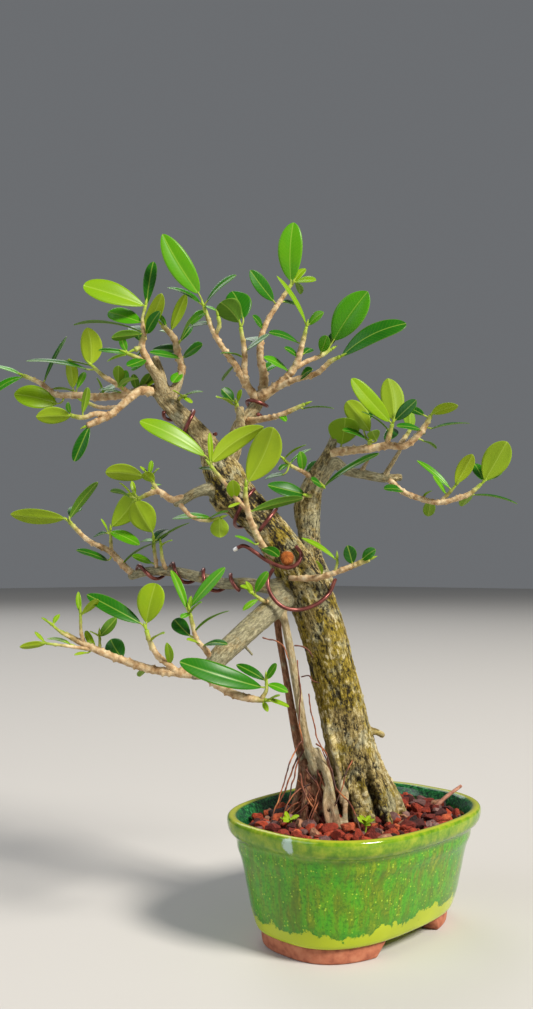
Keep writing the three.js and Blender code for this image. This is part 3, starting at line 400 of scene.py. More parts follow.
def clay_finish():
    """Bisque stoneware: an open, dusty, unglazed body with fine grog, so it is matte and finely pitted."""
    m, shader = new_material("bare_clay", {"Roughness": 0.88, "IOR": 1.45})
    whole = add_node(m, "TexCoord", output="Object")
    # Clouds from the fire, 6 mm wide, and grog of 0.7 mm, a little coarser than the real grit so that it shows.
    tone, grit = (
        add_node(m, "TexNoise", {"Vector": whole, "Scale": 1 / (size * MM), "Detail": detail})
        for size, detail in ((6, 6), (0.7, 3))
    )
    colour = add_node(m, "ValToRGB", {"Fac": tone}, (), [(0.3, "#8f4f3a"), (0.75, "#c07f60"), (0.5, "#b06a4e")])
    rise = add_node(m, "Bump", {"Height": grit, "Strength": 0.5, "Distance": 0.0003})
    set_sockets(shader, {"Base Color": colour, "Normal": rise})
    return m


bare_clay = clay_finish()
for name, side in (("foot_right", 1), ("foot_left", -1)):
    foot_piece = make_piece(name, *foot(side), bare_clay)
    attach(foot_piece, "root")
    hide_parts("pot")


# ---- Soil ----
# Dark, damp potting soil packed into the bowl; it shows in the gaps between the stones and at the drain
# holes.
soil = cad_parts["soil"]
# Damp humus in crumbs of 2.5 mm: almost black, rough and without gloss.
potting_soil, soil_shader = new_material("potting_soil", {"Roughness": 0.95})
soil_whole = add_node(potting_soil, "TexCoord", output="Object")
soil_grit = add_node(potting_soil, "TexNoise", {"Vector": soil_whole, "Scale": 1 / (2.5 * MM), "Detail": 8})
soil_colour = add_node(potting_soil, "ValToRGB", {"Fac": soil_grit}, (), [(0.35, "#120c08"), (0.7, "#3a281b")])
soil_rise = add_node(potting_soil, "Bump", {"Height": soil_grit, "Strength": 0.9, "Distance": 0.001})
set_sockets(soil_shader, {"Base Color": soil_colour, "Normal": soil_rise})
soil.data.materials.clear()
soil.data.materials.append(potting_soil)


# ---- Lava gravel ----
# Broken lava rock, 4 to 11 mm across, scattered in three layers over the soil and heaped a little towards
# the trunk. Most stones are brick red, some are maroon, grey or tan.
GRAVEL_SEED = 11
BED_HALF = np.array([90.0, 68.0])
LAYERS = [(77.0, 7.4, 3.4), (80.0, 8.4, 4.5), (81.6, 15.5, 5.6)]  # height, spacing, half size of the stones
ROW_PITCH = 0.87
GRAVEL_HEAP = 2.4
STONE_CUTS, STONE_WAVES, STONE_FLATNESS = 11, 0.07, 0.82
LAVA = ["#94331b", "#b34626", "#74271b", "#4a1d1a", "#c65f38", "#755450", "#2a1f1c", "#b28363", "#93716a"]
LAVA_SHARES = [0.23, 0.2, 0.17, 0.12, 0.08, 0.08, 0.04, 0.04, 0.04]


def stone_ball():
    """The 42 points and 80 faces of a ball split once from an icosahedron."""
    made = bmesh.new()
    bmesh.ops.create_icosphere(made, subdivisions=2, radius=1)
    points = np.array([v.co[:] for v in made.verts])
    faces = np.array([[v.index for v in f.verts] for f in made.faces])
    made.free()
    return points, faces


def lava_stones():
    """Each stone is the ball pushed back to a few random planes, then stretched and turned at random."""
    draw = np.random.default_rng(GRAVEL_SEED)
    ball, ball_faces = stone_ball()
    points, faces, tones = [], [], []
    for height, spacing, half in LAYERS:
        columns = np.arange(-BED_HALF[0], BED_HALF[0], spacing)
        for k, row in enumerate(np.arange(-BED_HALF[1], BED_HALF[1], spacing * ROW_PITCH)):
            for column in columns + (k % 2) * spacing / 2:
                spot = np.array([column, row]) + draw.uniform(-0.32, 0.32, 2) * spacing
                size = half * draw.uniform(0.55, 1.35)
                out = ((np.abs(spot) / (BED_HALF - size)) ** OVAL_POWER).sum()
                planes = draw.normal(size=(STONE_CUTS, 3))
                depths = draw.uniform(0.42, 0.82, STONE_CUTS)
                stretch = draw.uniform(0.72, 1.3, 3)
                turn = np.linalg.qr(draw.normal(size=(3, 3)))[0]
                lift = draw.uniform(-1, 1)
                tone = draw.choice(len(LAVA), p=LAVA_SHARES)
                if out > 1:
                    continue
                planes /= np.linalg.norm(planes, axis=1, keepdims=True)
                shape = ball.copy()
                for plane, depth in zip(planes, depths):
                    shape -= np.maximum(shape @ plane - depth, 0)[:, None] * plane
                shape += STONE_WAVES * noise(shape + spot[0], 0.45, 5)[:, None] * ball
                shape = (shape * stretch) @ turn.T * size
                shape *= [1, 1, STONE_FLATNESS]
                faces.append(ball_faces + len(ball) * len(points))
                points.append(shape + [*spot, height + GRAVEL_HEAP * (1 - np.sqrt(out)) + lift])
                tones.append(np.full(len(ball), tone / (len(LAVA) - 1)))
    return np.vstack(points) + POT_MIDDLE, np.vstack(faces).tolist(), np.concatenate(tones)


def lava_finish():
    """Scoria: porous volcanic rock, rusted red by its iron. Its open pores, 0.3 to 1 mm wide, leave it
    without any gloss."""
    m, shader = new_material("lava_rock", {"Roughness": 0.92})
    tone = add_node(m, "Attribute", (), {"attribute_name": "tone"}, output="Fac")
    stops = [(i / (len(LAVA) - 1), colour) for i, colour in enumerate(LAVA)]
    rust = add_node(m, "ValToRGB", {"Fac": tone}, (), [stops[0], stops[-1], *stops[1:-1]])
    darken = {"data_type": "RGBA", "blend_type": "MULTIPLY"}
    dark = add_node(m, "Mix", {"Factor": 0.6, "A": rust, "B": "#8a6a60"}, darken)
    whole = add_node(m, "TexCoord", output="Object")
    # Dust lies in patches of 2.2 mm, and the pores stand 0.9 mm apart.
    dust = add_node(m, "TexNoise", {"Vector": whole, "Scale": 1 / (2.2 * MM), "Detail": 6})
    pores = add_node(m, "TexVoronoi", {"Vector": whole, "Scale": 1 / (0.9 * MM)})
    rise = add_node(m, "Bump", {"Height": pores, "Strength": 0.7, "Distance": 0.0006})
    colour = layered(m, dark, [(rust, dust, 0.35, 0.68, 1, "LINEAR")])
    set_sockets(shader, {"Base Color": colour, "Normal": rise})
    return m


stone_points, stone_faces, stone_tones = lava_stones()
stones = make_piece("lava_stones", stone_points, stone_faces, lava_finish(), smooth=False, tone=stone_tones)
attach(stones, "root")
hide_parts("gravel")


# ---- Tree ----
# One piece of living fig wood: a leaning trunk with spreading roots, its limbs and cut stumps, and two
# strands that grew down beside it. Old bark is fissured, warty and grown over with lichen.
LIMBS = {  # each limb, root, ridge and peg as a line of [across, away, up, radius] points
    "trunk": [
        [8, 5, 76, 24], [6, 5, 93, 22.5], [1, 4, 109, 20], [-4, 2, 129, 18], [-9, 0, 157, 17.3],
        [-17, -3, 191, 16.8], [-25, -5, 223, 17.2], [-37, -6, 254, 17], [-52, -6, 278, 15],
        [-71, -4, 303, 13.2], [-90, -1, 323, 14.5], [-102, 1, 341, 14.5], [-112, 3, 360, 9.5],
        [-125, 5, 377, 8], [-139, 6, 391, 7.4], [-149, 6, 403, 7], [-154, 6, 409, 5.6],
    ],
    "right_limb": [
        [-28, 6, 256, 12], [-33, 10, 275, 9.5], [-35, 13, 296, 8.8], [-36, 14, 316, 10.4], [-33, 13, 330, 8.6],
        [-28, 8, 344, 6], [-21, 2, 356, 4.6], [-14, -4, 372, 3.6],
    ],
    "right_back_limb": [
        [-34, 15, 322, 6.5], [-24, 22, 340, 6], [-14, 27, 353, 5.6], [-4, 30, 347, 4.6], [11, 33, 344, 4.2],
        [28, 34, 341, 3.9], [41, 34, 342, 3.4],
    ],
    "low_limb": [
        [-54, -12, 246, 9], [-68, -24, 235, 8.8], [-84, -38, 221, 8.4], [-100, -50, 207, 7.6],
        [-111, -56, 196, 5.6], [-121, -57, 193, 3.6],
    ],
    "left_limb": [
        [-53, -8, 256, 7], [-70, -14, 255, 5.4], [-83, -8, 257, 4.9], [-102, 4, 257, 4.8], [-122, 16, 262, 4.6],
        [-143, 26, 266, 4.4], [-163, 32, 266, 4.1], [-178, 36, 262, 3.7],
    ],
    "upper_left_stub": [
        [-108, -4, 330, 6], [-121, -12, 326, 4.2], [-132, -17, 319, 3.8], [-137, -19, 316, 2.8],
    ],
    "apex_limb": [
        [-98, 6, 354, 9], [-92, 10, 369, 7], [-88, 12, 381, 6.2], [-79, 13, 392, 5.6], [-73, 14, 403, 5.4],
        [-71, 14, 408, 4.6],
    ],
    "strand": [
        [-59, -18, 248, 4.2], [-56, -20, 236, 3.4], [-51, -19, 212, 3.4], [-45, -16, 178, 3.6],
        [-39, -13, 144, 3.7], [-30, -10, 114, 4.1], [-20, -8, 91, 4.4], [-17, -8, 81, 4.4],
    ],
    "strand_behind": [
        [-60, -14, 245, 4.2], [-59, -13, 222, 3], [-54, -11, 192, 3], [-49, -8, 162, 3.4], [-43, -4, 132, 4],
        [-33, 0, 101, 4.4], [-29, 1, 82, 4.4],
    ],
    "crown_limb": [[-147, 6, 400, 6.4], [-152, 1, 416, 4.7], [-160, -4, 427, 3.6]],
    "crown_limb_right": [[-145, 6, 399, 6.2], [-138, 9, 412, 4.1], [-135, 11, 424, 3.5]],
    "crown_stub": [[-148, 7, 406, 4.8], [-151, 10, 421, 3.7], [-156, 10, 435, 3.2]],
    "right_riser_outer": [[27, 33, 343, 2.6], [34, 24, 355, 2.2], [38, 16, 362, 2]],
    "right_riser_inner": [[8, 32, 346, 2.4], [12, 26, 353, 1.8], [14, 20, 357, 1.6]],
    "far_left_limb": [[-147, 6, 401, 5.6], [-160, 8, 409, 4.4], [-175, 12, 406, 3.7]],
    "stump_front": [[-50, -12, 270, 6.2], [-53, -26, 277, 5.4]],
    "stump_side": [[-29, -4, 250, 6.4], [-19, -6, 252, 5.2]],
    "root_left": [[-8, 0, 118, 8], [-18, -10, 102, 6.5], [-27, -20, 90, 5]],
    "root_right": [[13, 6, 113, 9], [24, 10, 99, 6.5], [33, 14, 85, 4.6]],
    "root_back": [[6, 12, 110, 9], [10, 28, 93, 7], [16, 42, 79, 4.8]],
    "root_front": [[-1, -6, 114, 9], [0, -18, 98, 7], [0, -28, 84, 4.6]],
    "front_root": [
        [-31, -11, 134, 3], [-25, -15, 121, 3.5], [-22, -21, 110, 3.5], [-20, -27, 99, 3.3],
        [-18, -33, 89, 3.4], [-17, -36, 79, 3.8],
    ],
    "front_root_fork": [
        [-23, -20, 112, 1.9], [-25, -25, 104, 1.9], [-26, -30, 95, 1.8], [-24, -34, 86, 1.8], [-22, -36, 79, 2],
    ],
    "ridge_left": [
        [-23, -12, 156, 1.4], [-19, -15, 139, 2.2], [-16, -17, 127, 2.4], [-13, -19, 111, 2.6],
        [-13, -24, 96, 2],
    ],
    "ridge_right": [
        [9, 4, 150, 1.6], [14, 4, 131, 2.4], [20, 4, 115, 2.8], [27, 5, 102, 3.2], [34, 4, 88, 3.4],
        [37, 3, 79, 3],
    ],
    "ridge_near_right": [
        [3, -9, 146, 1.5], [8, -13, 127, 2.2], [13, -16, 110, 2.6], [18, -19, 95, 3], [22, -22, 81, 3],
    ],
    "ridge_front": [[-7, -18, 116, 1.6], [-9, -23, 103, 2.2], [-11, -29, 91, 2.4], [-10, -33, 80, 2.4]],
    "ridge_front_right": [[0, -18, 124, 1.4], [4, -21, 107, 2.3], [7, -26, 92, 2.8], [10, -30, 80, 2.8]],
    "ridge_back": [[-8, 16, 140, 2], [-9, 20, 120, 3], [-14, 25, 100, 3.4], [-20, 31, 82, 3.4]],
    "ridge_back_right": [[6, 19, 132, 2], [10, 25, 110, 3], [18, 32, 92, 3.2], [24, 38, 79, 3]],
    "peg_right": [[7, 2, 147, 2.4], [16, 2, 144, 1.9], [21, 1, 142, 1.9]],
    "peg_small": [[-2, -4, 174, 1.8], [5, -5, 172, 1.5]],
    "peg_low": [[-84, -32, 212, 1.8], [-78, -33, 205, 1.4]],
    "heel_left": [[-42, -3, 128, 2.4], [-42, -4, 112, 3], [-45, -6, 97, 3.4], [-50, -8, 80, 3.4]],
    "heel_front": [[-40, -4, 126, 2.4], [-38, -9, 112, 3.2], [-39, -14, 96, 3.4], [-41, -20, 80, 3.2]],
    "heel_right": [[-34, -8, 118, 2.4], [-31, -13, 104, 3.2], [-31, -19, 92, 3], [-32, -25, 80, 2.8]],
    "heel_back": [[-38, 0, 122, 2.6], [-38, 6, 104, 3.4], [-40, 12, 90, 3], [-43, 16, 80, 2.8]],
    "knob_left": [[-97, -2, 316, 10], [-102, -2, 327, 11], [-104, -2, 338, 9.5]],
    "peg_crown": [[-89, 2, 368, 4.5], [-88, -5, 380, 3.6], [-88, -8, 392, 3.4]],
}
SMOOTH_LIMBS = ["strand", "strand_behind", "front_root", "front_root_fork", "left_limb", "low_limb"]
RUSTY_LIMBS = ["strand_behind", "heel_left", "heel_front", "heel_right", "heel_back"]
LICHENED_LIMBS = ["right_back_limb", "left_limb", "upper_left_stub"]
# The bark follows the limbs, not the ridges, pegs and buried roots that swell out of them.
BARK_LIMBS = [name for name in LIMBS if not name.startswith(("root_", "ridge_", "peg_", "knob_"))]
WOOD_VOXEL = 1.1
WOOD_STEP, WOOD_SIDES = 3, 32
WOOD_RELAX, WOOD_ROUNDS = 0.6, 4
TRUNK_FLUTES, LIMB_FLUTES, FLUTE_COUNT = 0.06, 0.02, 3
FLUTE_TWIST = 0.0175  # turn of the flutes for each mm along the trunk
END_DRAW, END_REACH = 0.55, 0.3  # a tube's end: its radius and its length, as shares of the last radius
BARK_STEP, POINTS_AT_ONCE = 2.5, 4000
BARK_RISE, BARK_SINK = 0.95, 0.35
LIMB_SHIFT = 40  # how far each limb's bark pattern is moved on from the last one's
DARK_BASE_TOP, DARK_BASE_BLEND = 108, 16  # below this height smooth limbs take more of the dark rust colour, the lower the more
MOSS_MIDDLE, MOSS_SPREAD = 190, 75  # the height where lichen is thickest, and how far it spreads
STUMP_PLACE, STUMP_REACH = [-53, -30, 277], 9.5


def carried_frames(centres):
    """A direction square to the line at each station, carried along it without twist, and the one square
    to both."""
    tangents = np.gradient(centres, axis=0)
    tangents /= np.linalg.norm(tangents, axis=1, keepdims=True)
    side = np.cross(tangents[0], np.eye(3)[np.argmin(np.abs(tangents[0]))])
    normals = [np.cross(tangents[0], side / np.linalg.norm(side))]
    for before, after in zip(tangents[:-1], tangents[1:]):
        turned = normals[-1] + np.cross(np.cross(before, after), normals[-1])
        turned -= after * (turned @ after)
        normals.append(turned / np.linalg.norm(turned))
    normals = np.array(normals)
    return tangents, normals, np.cross(tangents, normals)


def tube(centres, radii, sides, bulge=1):
    """A closed skin round a line: centre plus radius times (cosine of the turn along the normal plus sine
    along the other), with each end drawn in over one short station."""
    tangents, normals, others = carried_frames(centres)
    turn = np.linspace(0, 2 * np.pi, sides, endpoint=False)
    wide = np.repeat(radii[:, None], sides, 1) * bulge
    around = np.cos(turn)[None, :, None] * normals[:, None] + np.sin(turn)[None, :, None] * others[:, None]
    rings = centres[:, None] + wide[..., None] * around
    first = centres[0] + END_DRAW * (rings[0] - centres[0]) - tangents[0] * radii[0] * END_REACH
    last = centres[-1] + END_DRAW * (rings[-1] - centres[-1]) + tangents[-1] * radii[-1] * END_REACH
    rings = np.concatenate([first[None], rings, last[None]])
    return rings.reshape(-1, 3), shell_faces(len(rings), sides)


def gather(shells):
    """Joins shells of (points, faces, ...): their points are stacked and their faces renumbered."""
    faces, start = [], 0
    for shell in shells:
        faces += [[i + start for i in face] for face in shell[1]]
        start += len(shell[0])
    return np.vstack([shell[0] for shell in shells]), faces


def limb_stations(points, step):
    """A limb's smooth line in the frame, with its radius and the distance run at each station."""
    points = np.asarray(points, float)
    line, run = smooth_line(np.column_stack([place(points[:, :3]), points[:, 3]]), step)
    return line[:, :3], line[:, 3], run


def raw_wood():
    """The tubes of all limbs, the trunk's with lengthwise flutes, fused by a voxel remesh and relaxed."""
    shells = []
    for name, limb in LIMBS.items():
        centres, radii, run = limb_stations(limb, WOOD_STEP)
        turn = np.linspace(0, 2 * np.pi, WOOD_SIDES, endpoint=False)
        depth = TRUNK_FLUTES if name == "trunk" else LIMB_FLUTES
        bulge = 1 + depth * np.cos(FLUTE_COUNT * turn[None, :] + run[:, None] * FLUTE_TWIST)
        shells.append(tube(centres, radii, WOOD_SIDES, bulge))
    made = make_piece("wood_tubes", *gather(shells))
    remesh, relax = made.modifiers.new("fuse", "REMESH"), made.modifiers.new("relax", "SMOOTH")
    remesh.mode, remesh.voxel_size = "VOXEL", WOOD_VOXEL * MM
    relax.factor, relax.iterations = WOOD_RELAX, WOOD_ROUNDS
    fused = bpy.data.meshes.new_from_object(made.evaluated_get(bpy.context.evaluated_depsgraph_get()))
    bpy.data.objects.remove(made)
    points, normals = np.empty((2, len(fused.vertices) * 3))
    fused.vertices.foreach_get("co", points)
    fused.vertices.foreach_get("normal", normals)
    return points.reshape(-1, 3) / MM, normals.reshape(-1, 3), [list(face.vertices) for face in fused.polygons]


def nearest_limb(points):
    """For each point, the station whose skin is nearest: its limb's number, radius, distance run, and the
    turn of the point about it, given as cosine and sine."""
    rows = []
    for number, name in enumerate(BARK_LIMBS):
        centres, radii, run = limb_stations(LIMBS[name], BARK_STEP)
        rows.append(np.column_stack([centres, radii, run, *carried_frames(centres), np.full(len(run), number)]))
    table = np.vstack(rows)
    found = np.empty(len(points), int)
    for start in range(0, len(points), POINTS_AT_ONCE):
        part = slice(start, start + POINTS_AT_ONCE)
        gaps = np.linalg.norm(points[part, None] - table[None, :, :3], axis=2) - table[None, :, 3]
        found[part] = np.argmin(gaps, axis=1)
    near = table[found]
    off = points - near[:, :3]
    ahead, c, s = ((off * near[:, i : i + 3]).sum(1) for i in (5, 8, 11))
    far = np.maximum(np.hypot(c, s), 1e-6)
    return near[:, 14].astype(int), near[:, 3], near[:, 4] + ahead, c / far, s / far


def cells(points, size, seed):
    """Distance to the nearest of one random spot per cell of the given size, as a share of that size."""
    spots = np.asarray(points, float) / size
    cell = np.floor(spots)
    best = np.full(len(spots), np.inf)
    for shift in np.ndindex(3, 3, 3):
        home = cell + np.array(shift) - 1
        jitter = np.stack([noise(home + 0.01, 1.0, seed + k) for k in range(3)], 1) * 0.45 + 0.5
        best = np.minimum(best, np.linalg.norm(home + jitter - spots, axis=1))
    return best


def bark_relief(points, limb, radius, run, c, s):
    """Bark in mm above the wood: long fissures, warts and fine grain, scaled down on thin limbs. Returns the
    relief, each point's place around and along its limb, and the bark's age from 0 to 1."""
    ring = np.stack([radius * c, radius * s, run], 1)
    shifted = ring + LIMB_SHIFT * limb[:, None]
    age = np.clip((radius - 3.2) / 9, 0.06, 1)
    fissure = 1 - np.abs(noise(shifted * [1, 1, 0.18], 3.6, 21)) * 2.2
    rough = noise(shifted * [1, 1, 0.45], 2.3, 22)
    warts = np.clip(0.6 - cells(shifted * [1, 1, 0.6], 3.0, 31), 0, 1) * 2.4
    lumps = noise(ring * [1, 1, 0.5], 13, 24)
    relief = age * (0.5 * fissure + 0.42 * rough + 0.55 * warts + 0.7 * lumps) + 0.12 * noise(ring, 1.6, 25)
    return relief, ring, age


def bark_finish():
    """Fig bark: thin grey-tan cork over olive green, split lengthwise, with crusts of yellow lichen. Its cracks
    are black, partly their own dark and partly painted shade, and its warts and ridges are pale cream, partly
    their own pale cork and partly a painted highlight. Nothing on it shines."""
    m, shader = new_material("fig_bark", {"Roughness": 0.86, "IOR": 1.4})
    ring = add_node(m, "Attribute", (), {"attribute_name": "ring"}, output="Vector")
    relief, age, moss, rust, stump, pale = (
        add_node(m, "Attribute", (), {"attribute_name": key}, output="Fac")
        for key in ("relief", "age", "moss", "rust", "stump", "pale")
    )
    long_ring, rough_ring = (add_node(m, "Mapping", {"Vector": ring, "Scale": (1, 1, k)}) for k in (0.3, 0.62))
    # Sizes in mm: cork fibres drawn out along the limb, specks, and patches of crust.
    fibre, speck, patch = (
        add_node(m, "TexNoise", {"Vector": spot, "Scale": 1 / size, "Detail": detail, "Roughness": rough})
        for spot, size, detail, rough in (
            (long_ring, 1.5, 7, 0.72), (rough_ring, 1.8, 6, 0.74), (ring, 14, 5, 0.65),
        )
    )
    young, old, rusty, lichen, crust, cut_wood = (
        add_node(m, "ValToRGB", {"Fac": fibre}, (), stops)
        for stops in (
            [(0.3, "#665333"), (0.72, "#d9ccaa"), (0.42, "#98865f"), (0.55, "#b8a884")],
            [(0.3, "#2c2110"), (0.72, "#ddd1a8"), (0.42, "#6b5a2e"), (0.55, "#a39158")],
            [(0.3, "#3c1f12"), (0.72, "#b98a68"), (0.5, "#84523a")],
            [(0.35, "#473d06"), (0.68, "#bca838"), (0.52, "#877412")],
            [(0.3, "#6a6a4e"), (0.7, "#bab99c"), (0.5, "#96957a")],
            [(0.3, "#4e2410"), (0.72, "#cf8440"), (0.5, "#a4581f")],
        )
    )
    # The sum of specks and relief sets both the painted shade in the cracks and the painted highlight on the warts
    # and ridges.
    lichen_sum, crust_sum, relief_shade_and_highlight = (
        add_node(m, "Math", {0: value, 1: times, 2: cloud}, {"operation": "MULTIPLY_ADD"})
        for value, times, cloud in ((moss, 1.1, speck), (pale, 0.2, patch), (speck, 6, relief))
    )
    # Black in the lowest relief: partly the cracks' own dark, partly painted shade.
    crack_dark_and_shade = add_node(
        m, "MapRange", {"Value": relief_shade_and_highlight, "From Min": 3.45, "From Max": 2.5, "To Max": 0.97},
        {"interpolation_type": "SMOOTHSTEP"},
    )
    crack_dark_and_shade = add_node(m, "Math", {0: crack_dark_and_shade, 1: age}, {"operation": "MULTIPLY", "use_clamp": True})
    colour = layered(m, young, [
        (old, age), (rusty, rust), (lichen, lichen_sum, 0.9, 1.15, 0.9), (crust, crust_sum, 0.52, 0.66, 0.72),
        # Black in the cracks is partly painted shade; the pale cream on the highest relief, the warts and ridges,
        # is partly a painted highlight.
        ("#171006", crack_dark_and_shade), ("#ddd2a8", relief_shade_and_highlight, 3.8, 4.6, 0.75), (cut_wood, stump),
    ])
    rise = add_node(m, "Bump", {"Height": fibre, "Strength": 0.8, "Distance": 0.0011})
    rise = add_node(m, "Bump", {"Height": speck, "Strength": 0.8, "Distance": 0.0013, "Normal": rise})
    set_sockets(shader, {"Base Color": colour, "Normal": rise})
    return m


wood_points, wood_normals, wood_faces = raw_wood()
limb_number, *limb_place = nearest_limb(wood_points)
relief, ring, age = bark_relief(wood_points, limb_number, *limb_place)
smooth_bark, rusty_bark, lichened, low_limb, right_limb = (
    np.isin(limb_number, [BARK_LIMBS.index(name) for name in names])
    for names in (SMOOTH_LIMBS, RUSTY_LIMBS, LICHENED_LIMBS, ["low_limb"], ["right_limb"])
)
relief = np.where(smooth_bark, 0.5 * relief, relief)
age = np.where(smooth_bark, 0.2 * age, age)
age = np.where(low_limb, 0.4, np.where(right_limb, np.clip(1.5 * age, 0.7, 1), age))
age = np.where(lichened, np.clip(1.4 * age, 0.45, 1), age)
rust = np.where(rusty_bark, 0.9, 0.55 * np.clip((DARK_BASE_TOP - wood_points[:, 2]) / DARK_BASE_BLEND, 0, 1) * smooth_bark)
pale = np.select([low_limb, right_limb, lichened], [0.95, 0.6, 0.75], 0.1)
moss = 0.3 + 0.34 * noise(wood_points, 30, 41) + 0.25 * noise(wood_points, 9, 42)
moss += 0.22 * np.exp(-(((wood_points[:, 2] - MOSS_MIDDLE) / MOSS_SPREAD) ** 2))
moss = np.clip(moss, 0, 1) * np.clip(age * 1.6, 0, 1)
stump_gap = np.linalg.norm(wood_points - place(STUMP_PLACE), axis=1)
stump = np.clip((STUMP_REACH - stump_gap + noise(wood_points, 2, 43)) / 2, 0, 1)
bark = make_piece(
    "tree_wood", wood_points + wood_normals * (relief * BARK_RISE - BARK_SINK)[:, None], wood_faces, bark_finish(),
    ring=ring, relief=relief, age=age, moss=moss, rust=rust, stump=stump, pale=pale,
)
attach(bark, "root")
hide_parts("tree")


# ---- Aerial rootlets ----
# Thin, corky, rusty roots of the living tree. They hang from its strands and its trunk and run down into the
# gravel, most of them in a tangle at the strands' feet.
ROOTLETS = [  # each as a line of [across, away, up, radius] points
    [[-42, -14, 140, 0.61], [-46, -18, 134, 0.61], [-51, -24, 125, 0.58], [-56, -30, 111, 0.54],
     [-61, -36, 98, 0.48], [-65, -40, 87, 0.41]],
    [[-31, -12, 138, 0.61], [-25, -18, 134, 0.61], [-21, -24, 122, 0.61], [-17, -30, 109, 0.61],
     [-9, -40, 101, 0.61], [-5, -50, 94, 0.61], [-2, -58, 85, 0.54]],
    [[-47, -20, 211, 0.54], [-41, -19, 210, 0.61], [-36, -20, 207, 0.54], [-33, -20, 202, 0.34]],
    [[-42, -18, 188, 0.48], [-36, -18, 189, 0.54], [-34, -19, 186, 0.48], [-28, -20, 184, 0.34]],
    [[-71, -30, 218, 0.54], [-62, -26, 215, 0.54], [-56, -24, 212, 0.54], [-51, -23, 201, 0.41]],
    [[-45, -16, 200, 0.48], [-43, -20, 178, 0.54], [-44, -22, 157, 0.54], [-41, -20, 139, 0.48]],
    [[-37, -17, 175, 0.54], [-33, -19, 155, 0.54], [-31, -19, 145, 0.54], [-27, -20, 136, 0.48],
     [-20, -16, 116, 0.54], [-15, -20, 98, 0.48]],
    [[-38, -14, 137, 0.61], [-44, -10, 125, 0.61], [-48, -14, 112, 0.61], [-51, -20, 98, 0.48]],
    [[-43, -6, 131, 0.68], [-49, -4, 115, 0.68], [-55, -8, 101, 0.61], [-59, -10, 92, 0.54]],
    [[-4, -14, 126, 0.54], [-10, -22, 117, 0.54], [-13, -26, 107, 0.48], [-18, -32, 97, 0.41]],
]
ROOTLET_STEP, ROOTLET_SIDES = 1.5, 7
ROOTLET_SWAY, ROOTLET_SWELL = 0.5, 0.15  # how far it strays from its line, and how much it swells
TANGLE_SEED, TANGLE_COUNT = 23, 44
TANGLE_TOP, TANGLE_FOOT = [-37, -9, 108], [-40, -15, 80]
TANGLE_WIDE, TANGLE_TAPER = (0.35, 0.8), 0.7


def rootlet(points):
    """A thin round root along a smooth line, thinning towards its end, with slight swellings."""
    centres, radii, run = limb_stations(points, ROOTLET_STEP)
    wobble = np.stack([noise(centres, 6, 50 + k) for k in range(3)], 1) * ROOTLET_SWAY
    return tube(centres + wobble, radii * (1 + ROOTLET_SWELL * np.sin(run * 1.1)), ROOTLET_SIDES)


def rootlet_finish():
    """Young fig roots: corky skin, rust red where dry and orange where new, with little gloss."""
    m, shader = new_material("root_skin", {"Roughness": 0.6})
    whole = add_node(m, "TexCoord", output="Object")
    tone = add_node(m, "TexNoise", {"Vector": whole, "Scale": 1 / (12 * MM), "Detail": 6})
    stops = [(0.34, "#35190e"), (0.7, "#c9854c"), (0.48, "#6e3821"), (0.58, "#96552f")]
    set_sockets(shader, {"Base Color": add_node(m, "ValToRGB", {"Fac": tone}, (), stops)})
    return m


def tangled_rootlets():
    """Short roots from the strands' feet into the gravel, each bowed to a random side."""
    draw = np.random.default_rng(TANGLE_SEED)
    made = []
    for _ in range(TANGLE_COUNT):
        top = np.array(TANGLE_TOP) + draw.uniform([-8, -9, -14], [14, 8, 12])
        foot = np.array(TANGLE_FOOT) + draw.uniform([-24, -18, -2], [30, 16, 2])
        middle = (top + foot) / 2 + draw.uniform([-7, -8, -3], [7, 3, 7])
        wide = draw.uniform(*TANGLE_WIDE)
        made.append([[*top, wide], [*middle, wide], [*foot, wide * TANGLE_TAPER]])
    return made


rootlet_shells = [rootlet(points) for points in ROOTLETS + tangled_rootlets()]
rootlets = make_piece("aerial_rootlets", *gather(rootlet_shells), rootlet_finish())
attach(rootlets, "root")
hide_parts("tree")


# ---- Dry stick ----
# A short dead twig of dry wood, its skin faded to a dusty pink brown. It was pushed into the gravel near
# the lip.
STICK = [[60, 24, 79, 1.6], [72, 28, 89, 1.5], [86, 34, 97, 1.3]]
STICK_STEP, STICK_SIDES, STICK_SWELL = 1.2, 12, 0.1
stick_centres, stick_radii, _ = limb_stations(STICK, STICK_STEP)
stick_radii = stick_radii * (1 + STICK_SWELL * noise(stick_centres, 4, 61))
# Dead wood: its skin has dried out, so it is matte all over.
dead_wood, stick_shader = new_material("dead_wood", {"Roughness": 0.85})
stick_whole = add_node(dead_wood, "TexCoord", output="Object")
stick_tone = add_node(dead_wood, "TexNoise", {"Vector": stick_whole, "Scale": 1 / (3 * MM), "Detail": 6})
stick_colour = add_node(dead_wood, "ValToRGB", {"Fac": stick_tone}, (), [(0.3, "#7d4a38"), (0.7, "#c49078")])
set_sockets(stick_shader, {"Base Color": stick_colour})
stick = make_piece("dry_twig", *tube(stick_centres, stick_radii, STICK_SIDES), dead_wood)
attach(stick, "root")
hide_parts("dry_stick")


